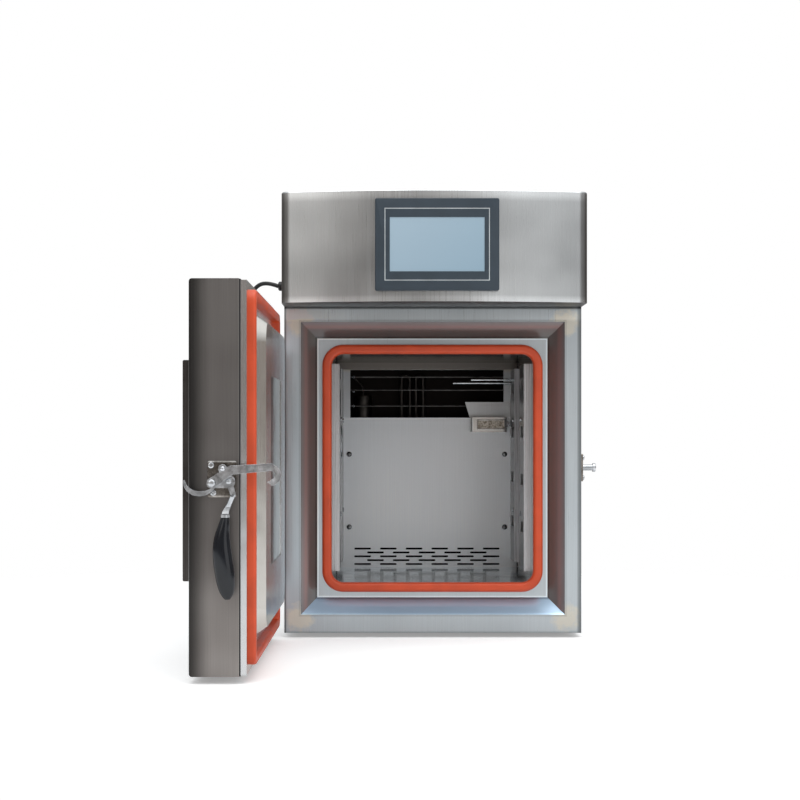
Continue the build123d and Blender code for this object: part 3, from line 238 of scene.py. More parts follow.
def steel(name, dark, light, rough=(0.25, 0.4), across=1800.0, along=8.0, cloud=3.0, bump=0.12,
          streak=0.16, metallic=1.0):
    """Sheet steel with an upright grain."""
    made, tree, shader = new_material(name)
    group = node(tree, "ShaderNodeGroup", {"Across": across, "Along": along, "Cloud": cloud},
                 node_tree=grain_group).outputs
    colour = ramp(tree, group["Clouds"], [(0.34, dark), (0.66, light)])
    lines = remap(tree, group["Grain"], 0.3, 0.7, 1 - streak, 1 + streak)
    wear_and_fold_light = calc(tree, "MULTIPLY_ADD", group["Scratches"], 0.12, group["Grain"])
    raised = node(tree, "ShaderNodeBump", {"Strength": bump, "Distance": 0.0001, "Height": wear_and_fold_light})
    wire(tree, shader, {"Base Color": scaled(tree, colour, lines), "Metallic": metallic,
                        "Roughness": remap(tree, wear_and_fold_light, 0.25, 0.75, *rough),
                        "Normal": raised.outputs[0]})
    return made


outer_steel = steel("outer_steel", (0.41, 0.42, 0.42), (0.51, 0.52, 0.525), rough=(0.27, 0.36),
                    cloud=4, streak=0.06, bump=0.06)
header_steel = steel("header_steel", (0.35, 0.36, 0.365), (0.585, 0.60, 0.605), rough=(0.25, 0.35),
                     cloud=5.5, streak=0.06, bump=0.06)
# The window frame is painted near-black brown: the same painted reflection of the dim room as on the door's
# edges.
window_steel = steel("window_steel", (0.062, 0.056, 0.053), (0.098, 0.09, 0.086), rough=(0.26, 0.4),
                     cloud=12)
# The header's underside gets this near-black steel as painted shade.
underside_shade_steel = steel("underside_shade_steel", (0.035, 0.032, 0.03), (0.06, 0.055, 0.05), rough=(0.4, 0.55))
print("outside steels", outer_steel.name, header_steel.name, window_steel.name, underside_shade_steel.name)

# %% [markdown]
# Inside the test space the sheets are brighter. The baffle is bead blasted and looks pale and even. The rails
# and the hood are satin, the cup is polished, and what lies behind the baffle is painted dark as painted
# shade: the guard wires, the coil and the pot.

# %% Steels of the test space
satin_steel = steel("satin_steel", (0.50, 0.52, 0.53), (0.62, 0.63, 0.64), rough=(0.26, 0.38),
                    bump=0.06, streak=0.08)
baffle_steel = steel("baffle_steel", (0.90, 0.93, 0.96), (0.98, 0.99, 1.0), rough=(0.42, 0.5), across=700,
                     bump=0.04, streak=0.03, metallic=0.35)
rail_steel = steel("rail_steel", (0.56, 0.565, 0.58), (0.70, 0.705, 0.72), rough=(0.24, 0.34),
                   streak=0.04, metallic=0.7)
cup_steel = steel("cup_steel", (0.88, 0.86, 0.82), (1.0, 0.98, 0.94), rough=(0.16, 0.28), cloud=40,
                  metallic=0.7)
polished_steel = steel("polished_steel", (0.60, 0.61, 0.61), (0.74, 0.74, 0.74), rough=(0.06, 0.13),
                       along=20, bump=0.04, streak=0.05)
back_shade_steel = steel("back_shade_steel", (0.03, 0.027, 0.025), (0.075, 0.068, 0.062), rough=(0.35, 0.5),
                   along=60, cloud=40)
dim_wire = steel("dim_wire", (0.06, 0.057, 0.054), (0.13, 0.125, 0.12), rough=(0.3, 0.45),
                 across=300, along=300, cloud=40)
print("test space steels from", satin_steel.name, "to", dim_wire.name)

# %% [markdown]
# Small metal has no belt marks. Its grain is as fine along as across, which turns it into
# a mottle, and the clouds are small: plated latch parts, turned pins and screw heads. The
# condenser's fins alone keep a long grain.

# %% Small metal
chrome = steel("chrome_plate", (0.44, 0.46, 0.48), (0.76, 0.78, 0.81), rough=(0.16, 0.28), across=120,
               along=120, cloud=60, bump=0.05, streak=0.05)
neck_steel = steel("neck_steel", (0.20, 0.205, 0.21), (0.31, 0.315, 0.325), rough=(0.18, 0.28), across=120,
                   along=120, cloud=60)
plate_steel = steel("plate_steel", (0.16, 0.14, 0.12), (0.34, 0.31, 0.28), rough=(0.2, 0.34), across=200,
                    along=200, cloud=70, streak=0.1)
screw_head = steel("screw_head", (0.10, 0.10, 0.10), (0.2, 0.2, 0.2), rough=(0.12, 0.2), across=200,
                   along=200, cloud=90)
turned_steel = steel("turned_steel", (0.42, 0.42, 0.43), (0.58, 0.58, 0.58), rough=(0.22, 0.36),
                     across=500, along=500, cloud=30)
fins = steel("fin_metal", (0.5, 0.5, 0.5), (0.68, 0.68, 0.68), rough=(0.3, 0.45), across=600, along=10)
print("small metal from", chrome.name, "to", fins.name)

# %% [markdown]
# The door's inner panel is pressed and polished, and never quite flat, so its reflections
# wander. A second, much wider bump is laid over the first one for that.

# %% Polished door panel
mirror_steel = steel("mirror_steel", (0.64, 0.65, 0.66), (0.82, 0.83, 0.84), rough=(0.16, 0.24), along=20,
                     bump=0.03, streak=0.04)
tree, shader, base, coords = opened(mirror_steel)
flat_normal = shader.inputs["Normal"].links[0].from_socket
dents = noise(tree, coords["Object"], 16.0, 1.0)
wander = node(tree, "ShaderNodeBump", {"Strength": 0.22, "Distance": 0.004, "Height": dents,
                                       "Normal": flat_normal})
wire(tree, shader, {"Normal": wander.outputs[0]})
print("panel dents laid over", mirror_steel.name)

# %% [markdown]
# Painted light and shade go on in bands: painted shade where a fold turns away from the light, and a painted
# highlight where an edge faces it.
# This helper takes a finished steel and multiplies its colour by a tone that runs along
# one axis between two places.

# %% Bands along an axis


def banded(material, axis, span, tones, faces="Y"):
    """Multiplies a material's colour by tones, given as (place 0 to 1, tone), along an axis.
    Only surfaces that face along the faces axis, or turn towards it, are toned."""
    tree, shader, base, coords = opened(material)
    along = remap(tree, axes_of(tree, coords["Object"])[axis], *span)
    facing = calc(tree, "ABSOLUTE", axes_of(tree, coords["Normal"])[faces])
    tone = mixed(tree, remap(tree, facing, 0.02, 0.2), (1, 1, 1, 1), ramp(tree, along, tones))
    wire(tree, shader, {"Base Color": vector(tree, "MULTIPLY", base, tone)})


# The rails' faces that look across the test space get painted shade.
rail_low, rail_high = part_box("shelf_rail_front_left")
banded(rail_steel, "Z", (rail_low.z, rail_high.z), [(0, 0.5), (0.04, 0.42), (1, 0.42)], faces="X")
body_low, body_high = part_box("body_shell")
# The top few millimetres of the body, under the header, get painted shade.
SEAM_SHADE = 0.004
banded(outer_steel, "Z", (body_high.z - SEAM_SHADE, body_high.z), [(0, 1), (0.5, 0.25), (1, 0.2)], faces="X")
print("rails and body banded, body top at", round(body_high.z, 3))

# %% [markdown]
# The header is a bowed sheet. It gets painted shade towards both ends, a painted highlight along its top where
# it rolls back, and another along its lower edge. Its underside gets painted shade, and is told apart by its
# normal.

# %% Header tones
head_low, head_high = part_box("header_shell")
LIP = 0.006
banded(header_steel, "X", (head_low.x, head_high.x),
       [(0, 0.25), (0.006, 0.3), (0.014, 0.72), (0.03, 1), (0.97, 1), (0.986, 0.8), (0.994, 0.35), (1, 0.25)])
banded(header_steel, "Z", (head_low.z, head_high.z),
       [(0, 1.25), (0.035, 1.3), (0.06, 1), (0.3, 0.88), (0.7, 0.96), (0.9, 1.05), (0.955, 1.55), (1, 1.7)])
banded(header_steel, "Z", (head_low.z, head_low.z + LIP), [(0, 1.25), (0.6, 1.2), (1, 1)], faces="X")
tree, shader, base, coords = opened(header_steel)
painted_under_shade = remap(tree, axes_of(tree, coords["Normal"])["Z"], -0.8, -0.4, 0.12, 1.0)
wire(tree, shader, {"Base Color": scaled(tree, base, painted_under_shade)})
print("header steel banded between", round(head_low.x, 3), round(head_high.x, 3))

# %% [markdown]
# The door's skin is brushed too. Its edges are painted dark brown, a painted reflection of the dim room,
# darkest along the outer corner and with painted light towards the foot, and they are brighter in a narrow
# band where the skin meets the pan. The colour runs across the door's thickness and up its height. Its outer
# face keeps the plain steel colour, and is told apart by its normal. The polished panel inside has a painted
# reflection in its colour, warm near its edge and cool beyond.

# %% Door skin
door_steel = steel("door_steel", (0.125, 0.114, 0.108), (0.18, 0.168, 0.16), rough=(0.3, 0.42), cloud=6,
                   streak=0.08, bump=0.06, metallic=0.7)
skin_low, skin_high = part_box("door_shell")
CORNER_DEEP, FOOT_HIGH = 0.034, 0.3
tree, shader, base, coords = opened(door_steel)
places = axes_of(tree, coords["Object"])
across = remap(tree, places["X"], skin_low.x, skin_low.x + CORNER_DEEP, 0.14, 1.05,
               interpolation_type="SMOOTHSTEP")
painted_foot_light = remap(tree, places["Z"], skin_low.z, skin_low.z + FOOT_HIGH, 1.9, 1.0,
               interpolation_type="SMOOTHSTEP")
painted_edge_reflection = scaled(tree, base, calc(tree, "MULTIPLY", across, painted_foot_light))
plain_face = vector(tree, "MULTIPLY", base, (2.75, 3.1, 3.3))
outer = remap(tree, calc(tree, "ABSOLUTE", axes_of(tree, coords["Normal"])["X"]), 0.8, 0.98)
wire(tree, shader, {"Base Color": mixed(tree, outer, painted_edge_reflection, plain_face)})
banded(door_steel, "X", (skin_low.x, swung(0, -23, 0).x), [(0, 1), (0.955, 1), (0.975, 1.8), (1, 1.9)])
PAN_WARM_REFLECTION, PAN_COOL_REFLECTION = (0.98, 0.93, 0.85), (1.02, 1.10, 1.16)
banded(mirror_steel, "Y", (swung(252, 0, 0).y, swung(-252, 0, 0).y),
       [(0, (0.96, 0.92, 0.86)), (0.3, PAN_WARM_REFLECTION), (0.45, PAN_COOL_REFLECTION), (1, PAN_COOL_REFLECTION)], faces="X")
print("door skin from", tuple(round(v, 3) for v in skin_low))

# %% [markdown]
# The front frame is one welded piece with two finishes. Its flat rim and seal seat are satin, and the splayed
# walls between them are polished and carry a painted reflection of the dim room in their colour, brown at the
# sides and pale blue below. Its corners are ground clean after welding, which leaves brighter, slightly
# straw-coloured patches. Which face is which comes from its normal.

# %% Front frame: satin rim, polished splay, ground welds
frame_steel = steel("frame_steel", (0.50, 0.55, 0.58), (0.62, 0.67, 0.70), rough=(0.26, 0.38), bump=0.06,
                    streak=0.06)
tree, shader, base, coords = opened(frame_steel)
rough = shader.inputs["Roughness"].links[0].from_socket
facing = axes_of(tree, coords["Normal"])
splay = remap(tree, calc(tree, "ABSOLUTE", facing["Y"]), 0.85, 0.8)
lower = remap(tree, facing["Z"], 0.3, 0.5)
deep = remap(tree, axes_of(tree, coords["Object"])["Y"], rim_low.y, rim_high.y)
painted_side_reflection = ramp(tree, deep, [(0.0, (0.12, 0.12, 0.125)), (0.1, (0.25, 0.22, 0.22)), (0.3, (0.31, 0.20, 0.19)),
                              (0.45, (0.20, 0.17, 0.165)), (0.8, (0.215, 0.205, 0.195)), (1.0, 0.3)])
dim = mixed(tree, lower, painted_side_reflection, (0.48, 0.64, 0.82, 1))

WELD_IN = 0.026
middle = (rim_low + rim_high) / 2
half = (rim_high - rim_low) / 2
corner = (half.x - WELD_IN, 0, half.z - WELD_IN)
place = vector(tree, "ABSOLUTE", vector(tree, "SUBTRACT", coords["Object"], tuple(middle)))
away = vector(tree, "MULTIPLY", vector(tree, "SUBTRACT", place, corner), (1, 0, 1))
away = vector(tree, "LENGTH", away)
ragged = calc(tree, "MULTIPLY_ADD", noise(tree, coords["Object"], 90.0, 3.0), 0.03, away)
weld = calc(tree, "MULTIPLY", remap(tree, ragged, 0.042, 0.03), 0.7)
ground = mixed(tree, weld, base, (0.80, 0.745, 0.62, 1))
wire(tree, shader, {"Base Color": mixed(tree, splay, ground, dim),
                    "Roughness": calc(tree, "MULTIPLY_ADD", splay, -0.14, rough),
                    "Metallic": remap(tree, splay, 0, 1, 1.0, 0.55)})
print("frame corner patches at", tuple(round(v, 3) for v in corner))

# %% [markdown]
# The frame's two folds, from rim to splay and from splay to seat, get a painted highlight along their edge,
# with a line of painted shade beside it. A point's distance from a fold is the greater of its two distances
# from that rectangle's sides. Bands across the rim paint a dark line on its outer arris, painted highlights
# just inside it, and painted shade along its top under the header.

# %% Painted light and shade on the folds and rim
OPENING_MID, LINE_REACH = at(0, 0, 288), 0.005
OUTER_FOLD, INNER_FOLD = (0.2245, 0, 0.249), (0.1975, 0, 0.222)
for fold, bright, dim_line in ((OUTER_FOLD, 1.35, 0.8), (INNER_FOLD, 1.5, 0.55)):
    tree, shader, base, coords = opened(frame_steel)
    off = vector(tree, "ABSOLUTE", vector(tree, "SUBTRACT", coords["Object"], tuple(OPENING_MID)))
    off = axes_of(tree, vector(tree, "SUBTRACT", off, fold))
    gap = remap(tree, calc(tree, "MAXIMUM", off["X"], off["Z"]), -LINE_REACH, LINE_REACH)
    wear_and_fold_light = ramp(tree, gap, [(0, 1), (0.2, 1), (0.34, bright), (0.5, bright), (0.56, dim_line),
                            (0.72, dim_line), (0.9, 1)])
    wire(tree, shader, {"Base Color": vector(tree, "MULTIPLY", base, wear_and_fold_light)})
banded(frame_steel, "X", (rim_low.x, rim_high.x),
       [(0, 0.4), (0.005, 0.45), (0.008, 1.3), (0.05, 1.15), (0.2, 1.15), (0.35, 1), (0.985, 1), (0.99, 0.5),
        (1, 0.35)])
banded(frame_steel, "Z", (rim_low.z, rim_high.z),
       [(0, 0.5), (0.006, 0.9), (0.1, 0.95), (0.2, 1), (0.955, 1), (0.965, 1.35), (0.992, 1.35), (0.996, 0.3),
        (1, 0.25)])
print("frame banded over", round(rim_high.x - rim_low.x, 3), "by", round(rim_high.z - rim_low.z, 3))

# %% [markdown]
# Plastics, silicone and rubber share a mottle: moulded surfaces are never quite even. The
# colour moves a little about its own value, and a fine grain goes into the bump.

# %% Plastics, silicone and rubber


def moulded(name, colour, rough=0.4, vary=0.12, scale=40.0, grain=1500.0, bump=0.08):
    """A moulded finish: mottled colour, fine surface grain."""
    made, tree, shader = new_material(name)
    coords = node(tree, "ShaderNodeTexCoord").outputs
    mottle = noise(tree, coords["Object"], scale, 3.0)
    dark = tuple(c * (1 - vary) for c in colour)
    light = tuple(min(1, c * (1 + vary)) for c in colour)
    fine = noise(tree, coords["Object"], grain, 1.0)
    raised = node(tree, "ShaderNodeBump", {"Strength": bump, "Distance": 0.0002, "Height": fine})
    wire(tree, shader, {"Base Color": ramp(tree, mottle, [(0.35, dark), (0.65, light)]),
                        "Roughness": remap(tree, mottle, 0, 1, rough * 0.85, min(1, rough * 1.15)),
                        "Normal": raised.outputs[0]})
    return made


orange_silicone = moulded("orange_silicone", (0.64, 0.074, 0.02), rough=0.42, vary=0.08, scale=25)
bezel_plastic = moulded("bezel_plastic", (0.029, 0.045, 0.062), rough=0.5, vary=0.06, grain=3000)
line_paint = moulded("line_paint", (0.52, 0.56, 0.58), rough=0.45)
black_gloss = moulded("black_gloss", (0.006, 0.008, 0.012), rough=0.13, bump=0.02)
black_satin = moulded("black_satin", (0.014, 0.014, 0.015), rough=0.4)
grey_silicone = moulded("grey_silicone", (0.42, 0.42, 0.43), rough=0.5)
foam = moulded("pale_foam", (0.75, 0.70, 0.52), rough=0.9, bump=0.5)
print("moulded finishes from", orange_silicone.name, "to", foam.name)

# %% [markdown]
# The door's window has a pane on each side. Glass lets light through, and what makes it
# show at all is its smears, so noise moves its roughness from clear to slightly hazed.

# %% Pane glass
glass, tree, shader = new_material("pane_glass")
coords = node(tree, "ShaderNodeTexCoord").outputs
smears = remap(tree, noise(tree, coords["Object"], 18.0, 4.0), 0.45, 0.75, 0.01, 0.12)
wire(tree, shader, {"Base Color": (0.88, 0.93, 0.93, 1), "Transmission Weight": 1.0, "IOR": 1.45,
                    "Roughness": smears})
print("glass", glass.name)

# %% [markdown]
# The back of the test space, behind the baffle, is out of the light. So the inner box has its own steel, which
# gets painted shade past the baffle and turns rougher there. Its floor has painted highlights in pale blue
# patches where it looks up, and its ceiling gets painted shade with a few painted light streaks across it.

# %% Inner box: polished before the baffle, painted shade behind it
liner_steel = steel("liner_steel", (0.10, 0.088, 0.078), (0.36, 0.335, 0.31), rough=(0.07, 0.16), along=20,
                    cloud=9, bump=0.05)
tree, shader, base, coords = opened(liner_steel)
rough = shader.inputs["Roughness"].links[0].from_socket
facing = axes_of(tree, coords["Normal"])
gleam_patches = noise(tree, coords["Object"], 22.0, 3.0, distortion=1.5)
painted_floor_gleam = ramp(tree, gleam_patches, [(0.3, (0.42, 0.48, 0.52)), (0.5, (0.72, 0.80, 0.85)), (0.68, (0.96, 1.0, 1.0))])
base = mixed(tree, remap(tree, facing["Z"], 0.7, 0.9), base, painted_floor_gleam)
ceiling_streak_noise = noise(tree, vector(tree, "MULTIPLY", coords["Object"], (5, 60, 5)), 1.0, 1.0, distortion=0.6)
painted_ceiling_shade = ramp(tree, ceiling_streak_noise, [(0.4, (0.03, 0.025, 0.02)), (0.56, (0.06, 0.05, 0.045)), (0.62, (0.5, 0.46, 0.4))])
base = mixed(tree, remap(tree, facing["Z"], -0.7, -0.9), base, painted_ceiling_shade)
baffle_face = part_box("air_baffle")[0].y
FADE_FROM, FADE_TO = baffle_face + 0.002, baffle_face + 0.010
shade_behind = remap(tree, axes_of(tree, coords["Object"])["Y"], FADE_FROM, FADE_TO)
wire(tree, shader, {"Base Color": mixed(tree, shade_behind, base, (0.012, 0.010, 0.009, 1)),
                    "Roughness": calc(tree, "MULTIPLY_ADD", shade_behind, 0.4, rough)})
print("baffle face at y", round(baffle_face, 4))

# %% [markdown]
# The baffle itself is bright below its outlet, a little dimmer beside it, and dark brown
# above it, where the ceiling keeps the light off.

# %% Baffle tones
SHADE_FROM, SHADE_TO = at(0, 0, 364).z, at(0, 0, 500).z
banded(baffle_steel, "Z", (SHADE_FROM, SHADE_TO),
       [(0, 1), (0.07, 1), (0.085, 1.12), (0.12, 0.8), (0.73, 0.66), (0.775, (0.66, 0.61, 0.54)),
        (0.79, (0.26, 0.23, 0.2)), (1, (0.2, 0.17, 0.15))])
print("baffle shaded from z", round(SHADE_FROM, 3), "to", round(SHADE_TO, 3))

# %% [markdown]
# The panel's display is lit from behind: a pale blue sheet, a little brighter towards the
# upper left, under a touch layer. The same colour is its surface and its glow.

# %% Lit screen
screen_low, screen_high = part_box("display_screen")
screen_glow, tree, shader = new_material("screen_glow")
coords = node(tree, "ShaderNodeTexCoord").outputs
place = axes_of(tree, vector(tree, "SUBTRACT", coords["Object"], tuple(screen_low)))
slope = calc(tree, "MULTIPLY_ADD", place["Z"], 4.0, calc(tree, "MULTIPLY_ADD", place["X"], -3.0, 0.5))
shade = ramp(tree, slope, [(0.0, (0.222, 0.317, 0.392)), (1.0, (0.303, 0.397, 0.468))])
wire(tree, shader, {"Base Color": shade, "Emission Color": shade, "Emission Strength": 0.35,
                    "Roughness": 0.25})
print("screen", screen_low, screen_high)

# %% [markdown]
# The CAD nodes keep their own meshes. Each only gets its finish here.

# %% Finishes on the CAD nodes
FINISH = {
    outer_steel: ("body_shell", "rear_panel"),
    header_steel: ("header_shell",),
    underside_shade_steel: ("header_base",),
    door_steel: ("door_shell",),
    window_steel: ("window_frame",),
    frame_steel: ("front_frame",),
    rail_steel: ("shelf_rail_front_left", "shelf_rail_rear_left", "shelf_rail_front_right",
                 "shelf_rail_rear_right"),
    satin_steel: ("cup_hood", "window_tunnel"),
    baffle_steel: ("air_baffle", "bulkhead"),
    liner_steel: ("inner_liner",),
    mirror_steel: ("door_liner",),
    cup_steel: ("water_cup",),
    plate_steel: ("latch_plate", "strike_plate"),
    dim_wire: ("guard_wires",),
    back_shade_steel: ("humidifier_pot", "evaporator"),
    chrome: ("dry_bulb", "wet_bulb", "port_sleeve", "strike_pin", "latch_bolt", "latch_lever", "hook_rivet",
             "latch_hook"),
    turned_steel: ("drain_spout", "cabinet_hinge_leaves", "door_hinge_leaves", "hinge_pins"),
    orange_silicone: ("cavity_seal", "door_seal"),
    bezel_plastic: ("display_bezel",),
    screen_glow: ("display_screen",),
    black_gloss: ("latch_grip",),
    black_satin: ("display_case", "power_inlet", "mains_rocker", "header_gland", "door_gland", "door_cable",
                  "feet", "compressor", "condenser_motor", "condenser_fan", "circulation_motor"),
    grey_silicone: ("port_stopper",),
    foam: ("insulation", "door_insulation"),
    fins: ("condenser", "circulation_wheel"),
    glass: ("outer_pane", "inner_pane"),
}
for finish, names in FINISH.items():
    for name in names:
        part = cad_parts[name]
        part.data.materials.clear()
        part.data.materials.append(finish)
print("dressed", sum(len(names) for names in FINISH.values()), "nodes")

# %% [markdown]
# The chamber stands on a white sweep. The camera sees a white world and a floor that glows
# just enough to meet it, so only the shadow is left of the floor. The floor fades out for
# the camera alone, because the metal still has to see it.

# %% Floor
FLOOR_SIZE, FLOOR_GLOW = 9, 0.30
FADE_NEAR, FADE_FAR = 0.8, 1.5
bpy.ops.object.select_all(action="DESELECT")
bpy.ops.mesh.primitive_plane_add(size=FLOOR_SIZE, location=(0, 0, 0))
floor = bpy.context.object
floor.name = "floor"
floor_paint, tree, shader = new_material("floor_paint")
seen = node(tree, "ShaderNodeLightPath").outputs["Is Camera Ray"]
coords = node(tree, "ShaderNodeTexCoord").outputs
fade = remap(tree, vector(tree, "LENGTH", coords["Object"]), FADE_NEAR, FADE_FAR,
             interpolation_type="SMOOTHSTEP")
kept = calc(tree, "SUBTRACT", 1.0, calc(tree, "MULTIPLY", fade, seen))
wire(tree, shader, {"Base Color": (0.9, 0.9, 0.9, 1), "Roughness": 0.9, "Emission Color": (1, 1, 1, 1),
                    "Emission Strength": calc(tree, "MULTIPLY", seen, FLOOR_GLOW), "Alpha": kept})
floor.data.materials.append(floor_paint)
print("floor fades from", FADE_NEAR, "to", FADE_FAR)

# %% [markdown]
# Steel shows what stands round it. The camera and the glass see plain white, but metal and
# light see a dimmer room, brown below and pale above with soft patches, which keeps the
# steel grey and gives it something to mirror.

# %% World
world = bpy.data.worlds.new("studio")
bpy.context.scene.world = world
world.use_nodes = True
tree = world.node_tree
tree.nodes.clear()
path = node(tree, "ShaderNodeLightPath").outputs
seen = calc(tree, "MAXIMUM", path["Is Camera Ray"], path["Is Transmission Ray"])
coords = node(tree, "ShaderNodeTexCoord").outputs
patches = noise(tree, coords["Generated"], 1.6, 1.0)
height = calc(tree, "MULTIPLY_ADD", patches, 0.35, axes_of(tree, coords["Generated"])["Z"])
walls = ramp(tree, height, [(0.1, (0.20, 0.17, 0.15)), (0.3, (0.24, 0.21, 0.19)), (0.5, 0.5),
                            (0.75, (0.9, 0.92, 0.94))])
room = node(tree, "ShaderNodeBackground", {"Strength": 1.0, "Color": walls})
white = node(tree, "ShaderNodeBackground", {"Strength": 1.0, "Color": (1, 1, 1, 1)})
blend = node(tree, "ShaderNodeMixShader", {0: seen, 1: room.outputs[0], 2: white.outputs[0]})
node(tree, "ShaderNodeOutputWorld", {"Surface": blend.outputs[0]})
print("world", world.name)

# %% [markdown]
# One wide lamp overhead lights everything softly, as a ceiling of tubes does. Two smaller
# ones in front, cool on the right and warm on the left, give the steel its shape.

# %% Lamps


def lamp(name, place, aim, size, watts, colour=(1, 1, 1)):
    """A soft rectangular lamp at place that points at aim."""
    data = bpy.data.lights.new(name, "AREA")
    data.shape = "RECTANGLE"
    data.size, data.size_y = size
    data.energy = watts
    data.color = colour
    made = bpy.data.objects.new(name, data)
    made.location = place
    made.rotation_euler = (Vector(aim) - Vector(place)).to_track_quat("-Z", "Y").to_euler()
    bpy.context.collection.objects.link(made)
    print("lamp", name, watts, "W")


lamp("ceiling", (0.2, -0.8, 3.0), (0.1, 0, 0), (3.0, 2.4), 46, (1, 0.99, 0.97))
lamp("front_right", (1.7, -3.0, 1.0), (0.1, 0, 0.5), (1.9, 1.9), 9.5, (0.95, 0.98, 1))
lamp("front_left", (-1.7, -3.0, 1.3), (0, 0, 0.5), (1.4, 1.4), 5, (1, 0.98, 0.95))

# %% [markdown]
# Small parts are modelled by operators, as by hand. Those act on whatever is selected, so
# one helper selects a single piece, and another picks some of its faces by a test and runs
# an edit-mode operator on them. The rest wrap what comes back: a disc on the origin, a
# block between two corners, a rounding and a cut.

# %% Modelling helpers


def only(piece):
    """Makes piece the single selected and active object."""
    bpy.ops.object.select_all(action="DESELECT")
    piece.select_set(True)
    bpy.context.view_layer.objects.active = piece


def edit(piece, test, action):
    """Selects the faces whose centre and normal pass test, and runs action on them."""
    only(piece)
    bpy.ops.object.mode_set(mode="EDIT")
    bpy.ops.mesh.select_mode(type="FACE")
    bpy.ops.mesh.select_all(action="DESELECT")
    bpy.ops.object.mode_set(mode="OBJECT")
    for face in piece.data.polygons:
        face.select = test(face.center, face.normal)
    bpy.ops.object.mode_set(mode="EDIT")
    action()
    bpy.ops.object.mode_set(mode="OBJECT")


def top(centre, normal):
    """Test: faces that look up."""
    return normal.z > 0.9


def everywhere(centre, normal):
    """Test: all faces."""
    return True


def outward():
    """Turns the faces of the piece in edit mode outwards."""
    bpy.ops.mesh.select_all(action="SELECT")
    bpy.ops.mesh.normals_make_consistent(inside=False)


def settled(name):
    """Names the new primitive and puts its place into its mesh."""
    made = bpy.context.object
    made.name = name
    bpy.ops.object.transform_apply(location=True, rotation=True, scale=True)
    return made


def disc(name, radius, height, sides=28):
    """A cylinder that stands on the origin."""
    only(floor)
    bpy.ops.mesh.primitive_cylinder_add(vertices=sides, radius=radius, depth=height,
                                        location=(0, 0, height / 2))
    return settled(name)


def block(name, low, high):
    """A box between two corners."""
    only(floor)
    low, high = Vector(low), Vector(high)
    bpy.ops.mesh.primitive_cube_add(size=1, location=(low + high) / 2, scale=high - low)
    return settled(name)


def softened(piece, width, segments=2):
    """Rounds every hard edge of piece and smooths its shading."""
    only(piece)
    bpy.ops.object.shade_smooth_by_angle(angle=math.radians(35))
    rounding = piece.modifiers.new("rounding", "BEVEL")
    rounding.width = width
    rounding.segments = segments
    rounding.limit_method = "ANGLE"
    rounding.harden_normals = True
    bpy.ops.object.modifier_apply(modifier="rounding")
    return piece


def carved(piece, cutter):
    """Cuts cutter out of piece and removes it."""
    only(piece)
    cut = piece.modifiers.new("cut", "BOOLEAN")
    cut.object = cutter
    cut.operation = "DIFFERENCE"
    cut.solver = "EXACT"
    bpy.ops.object.modifier_apply(modifier="cut")
    bpy.data.objects.remove(cutter)
    return piece


print("modelling helpers ready")

# %% [markdown]
# A finished piece needs a material and the body that it rides on.
# A screw is modelled once, facing up at the origin, and then copied to its places. The
# copies of one kind on one body are joined into one piece, each with a mesh of its own.

# %% Copying and dressing


def dressed(piece, body, finish):
    """Gives a piece its body and its material."""
    piece.data.materials.clear()
    piece.data.materials.append(finish)
    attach(piece, body)
    print(piece.name, len(piece.data.polygons), "faces")
    return piece


def spread(model, name, places, body, finish):
    """Copies model to each (place, direction), joins the copies, and gives them to a body."""
    copies = []
    for place, direction in places:
        copy = model.copy()
        copy.data = model.data.copy()
        bpy.context.collection.objects.link(copy)
        turn = Vector(direction).to_track_quat("Z", "Y").to_matrix().to_4x4()
        copy.data.transform(Matrix.Translation(place) @ turn)
        copies.append(copy)
    only(copies[0])
    for copy in copies:
        copy.select_set(True)
    if len(copies) > 1:
        bpy.ops.object.join()
    made = bpy.context.object
    made.name = name
    return dressed(made, body, finish)


print("copying helpers ready")

# %% [markdown]
# Rivets, studs and some screws have a domed head. A dome is turned, so it is a disc whose
# top is inset and raised in rings that follow a quarter circle.

# %% Domes


def dome(name, radius, height, rings=5, sides=32):
    """A turned dome head: rings inset and raised along a quarter circle."""
    made = disc(name, radius, height * 0.25, sides)
    level = height * 0.25
    reach = radius
    for ring in range(1, rings + 1):
        angle = math.pi / 2 * ring / (rings + 0.6)
        new_reach = radius * math.cos(angle)
        new_level = height * (0.25 + 0.75 * math.sin(angle))
        edit(made, lambda c, n, z=level: abs(c.z - z) < 1e-6 and n.z > 0.9 and c.xy.length < 1e-4,
             lambda: bpy.ops.mesh.inset(thickness=reach - new_reach, depth=new_level - level))
        reach, level = new_reach, new_level
    only(made)
    bpy.ops.object.shade_smooth_by_angle(angle=math.radians(40))
    print(name, "radius", radius)
    return made


# %% [markdown]
# A pan-head screw: a low turned head with a rolled edge and a cross recess, as pressed by
# a header machine. It is the common fastener of the rails, hinges, latch and rear panel.

# %% Pan-head screw
ARM, SLOT = 0.0022, 0.0004
screw = disc("screw_model", 0.0042, 0.0022, 24)
edit(screw, top, lambda: bpy.ops.mesh.inset(thickness=0.0016, depth=0.0005))
softened(screw, 0.0005)
for half_x, half_y in ((SLOT, ARM), (ARM, SLOT)):
    carved(screw, block("recess", (-half_x, -half_y, 0.0012), (half_x, half_y, 0.004)))
print("screw", len(screw.data.polygons), "faces")

# %% [markdown]
# The cabinet's screws hold its baffle, rails, strike plate and rear panel. The baffle's are
# domed and dark. Each stands on the face of the piece that it holds, which is read from
# that piece's box.

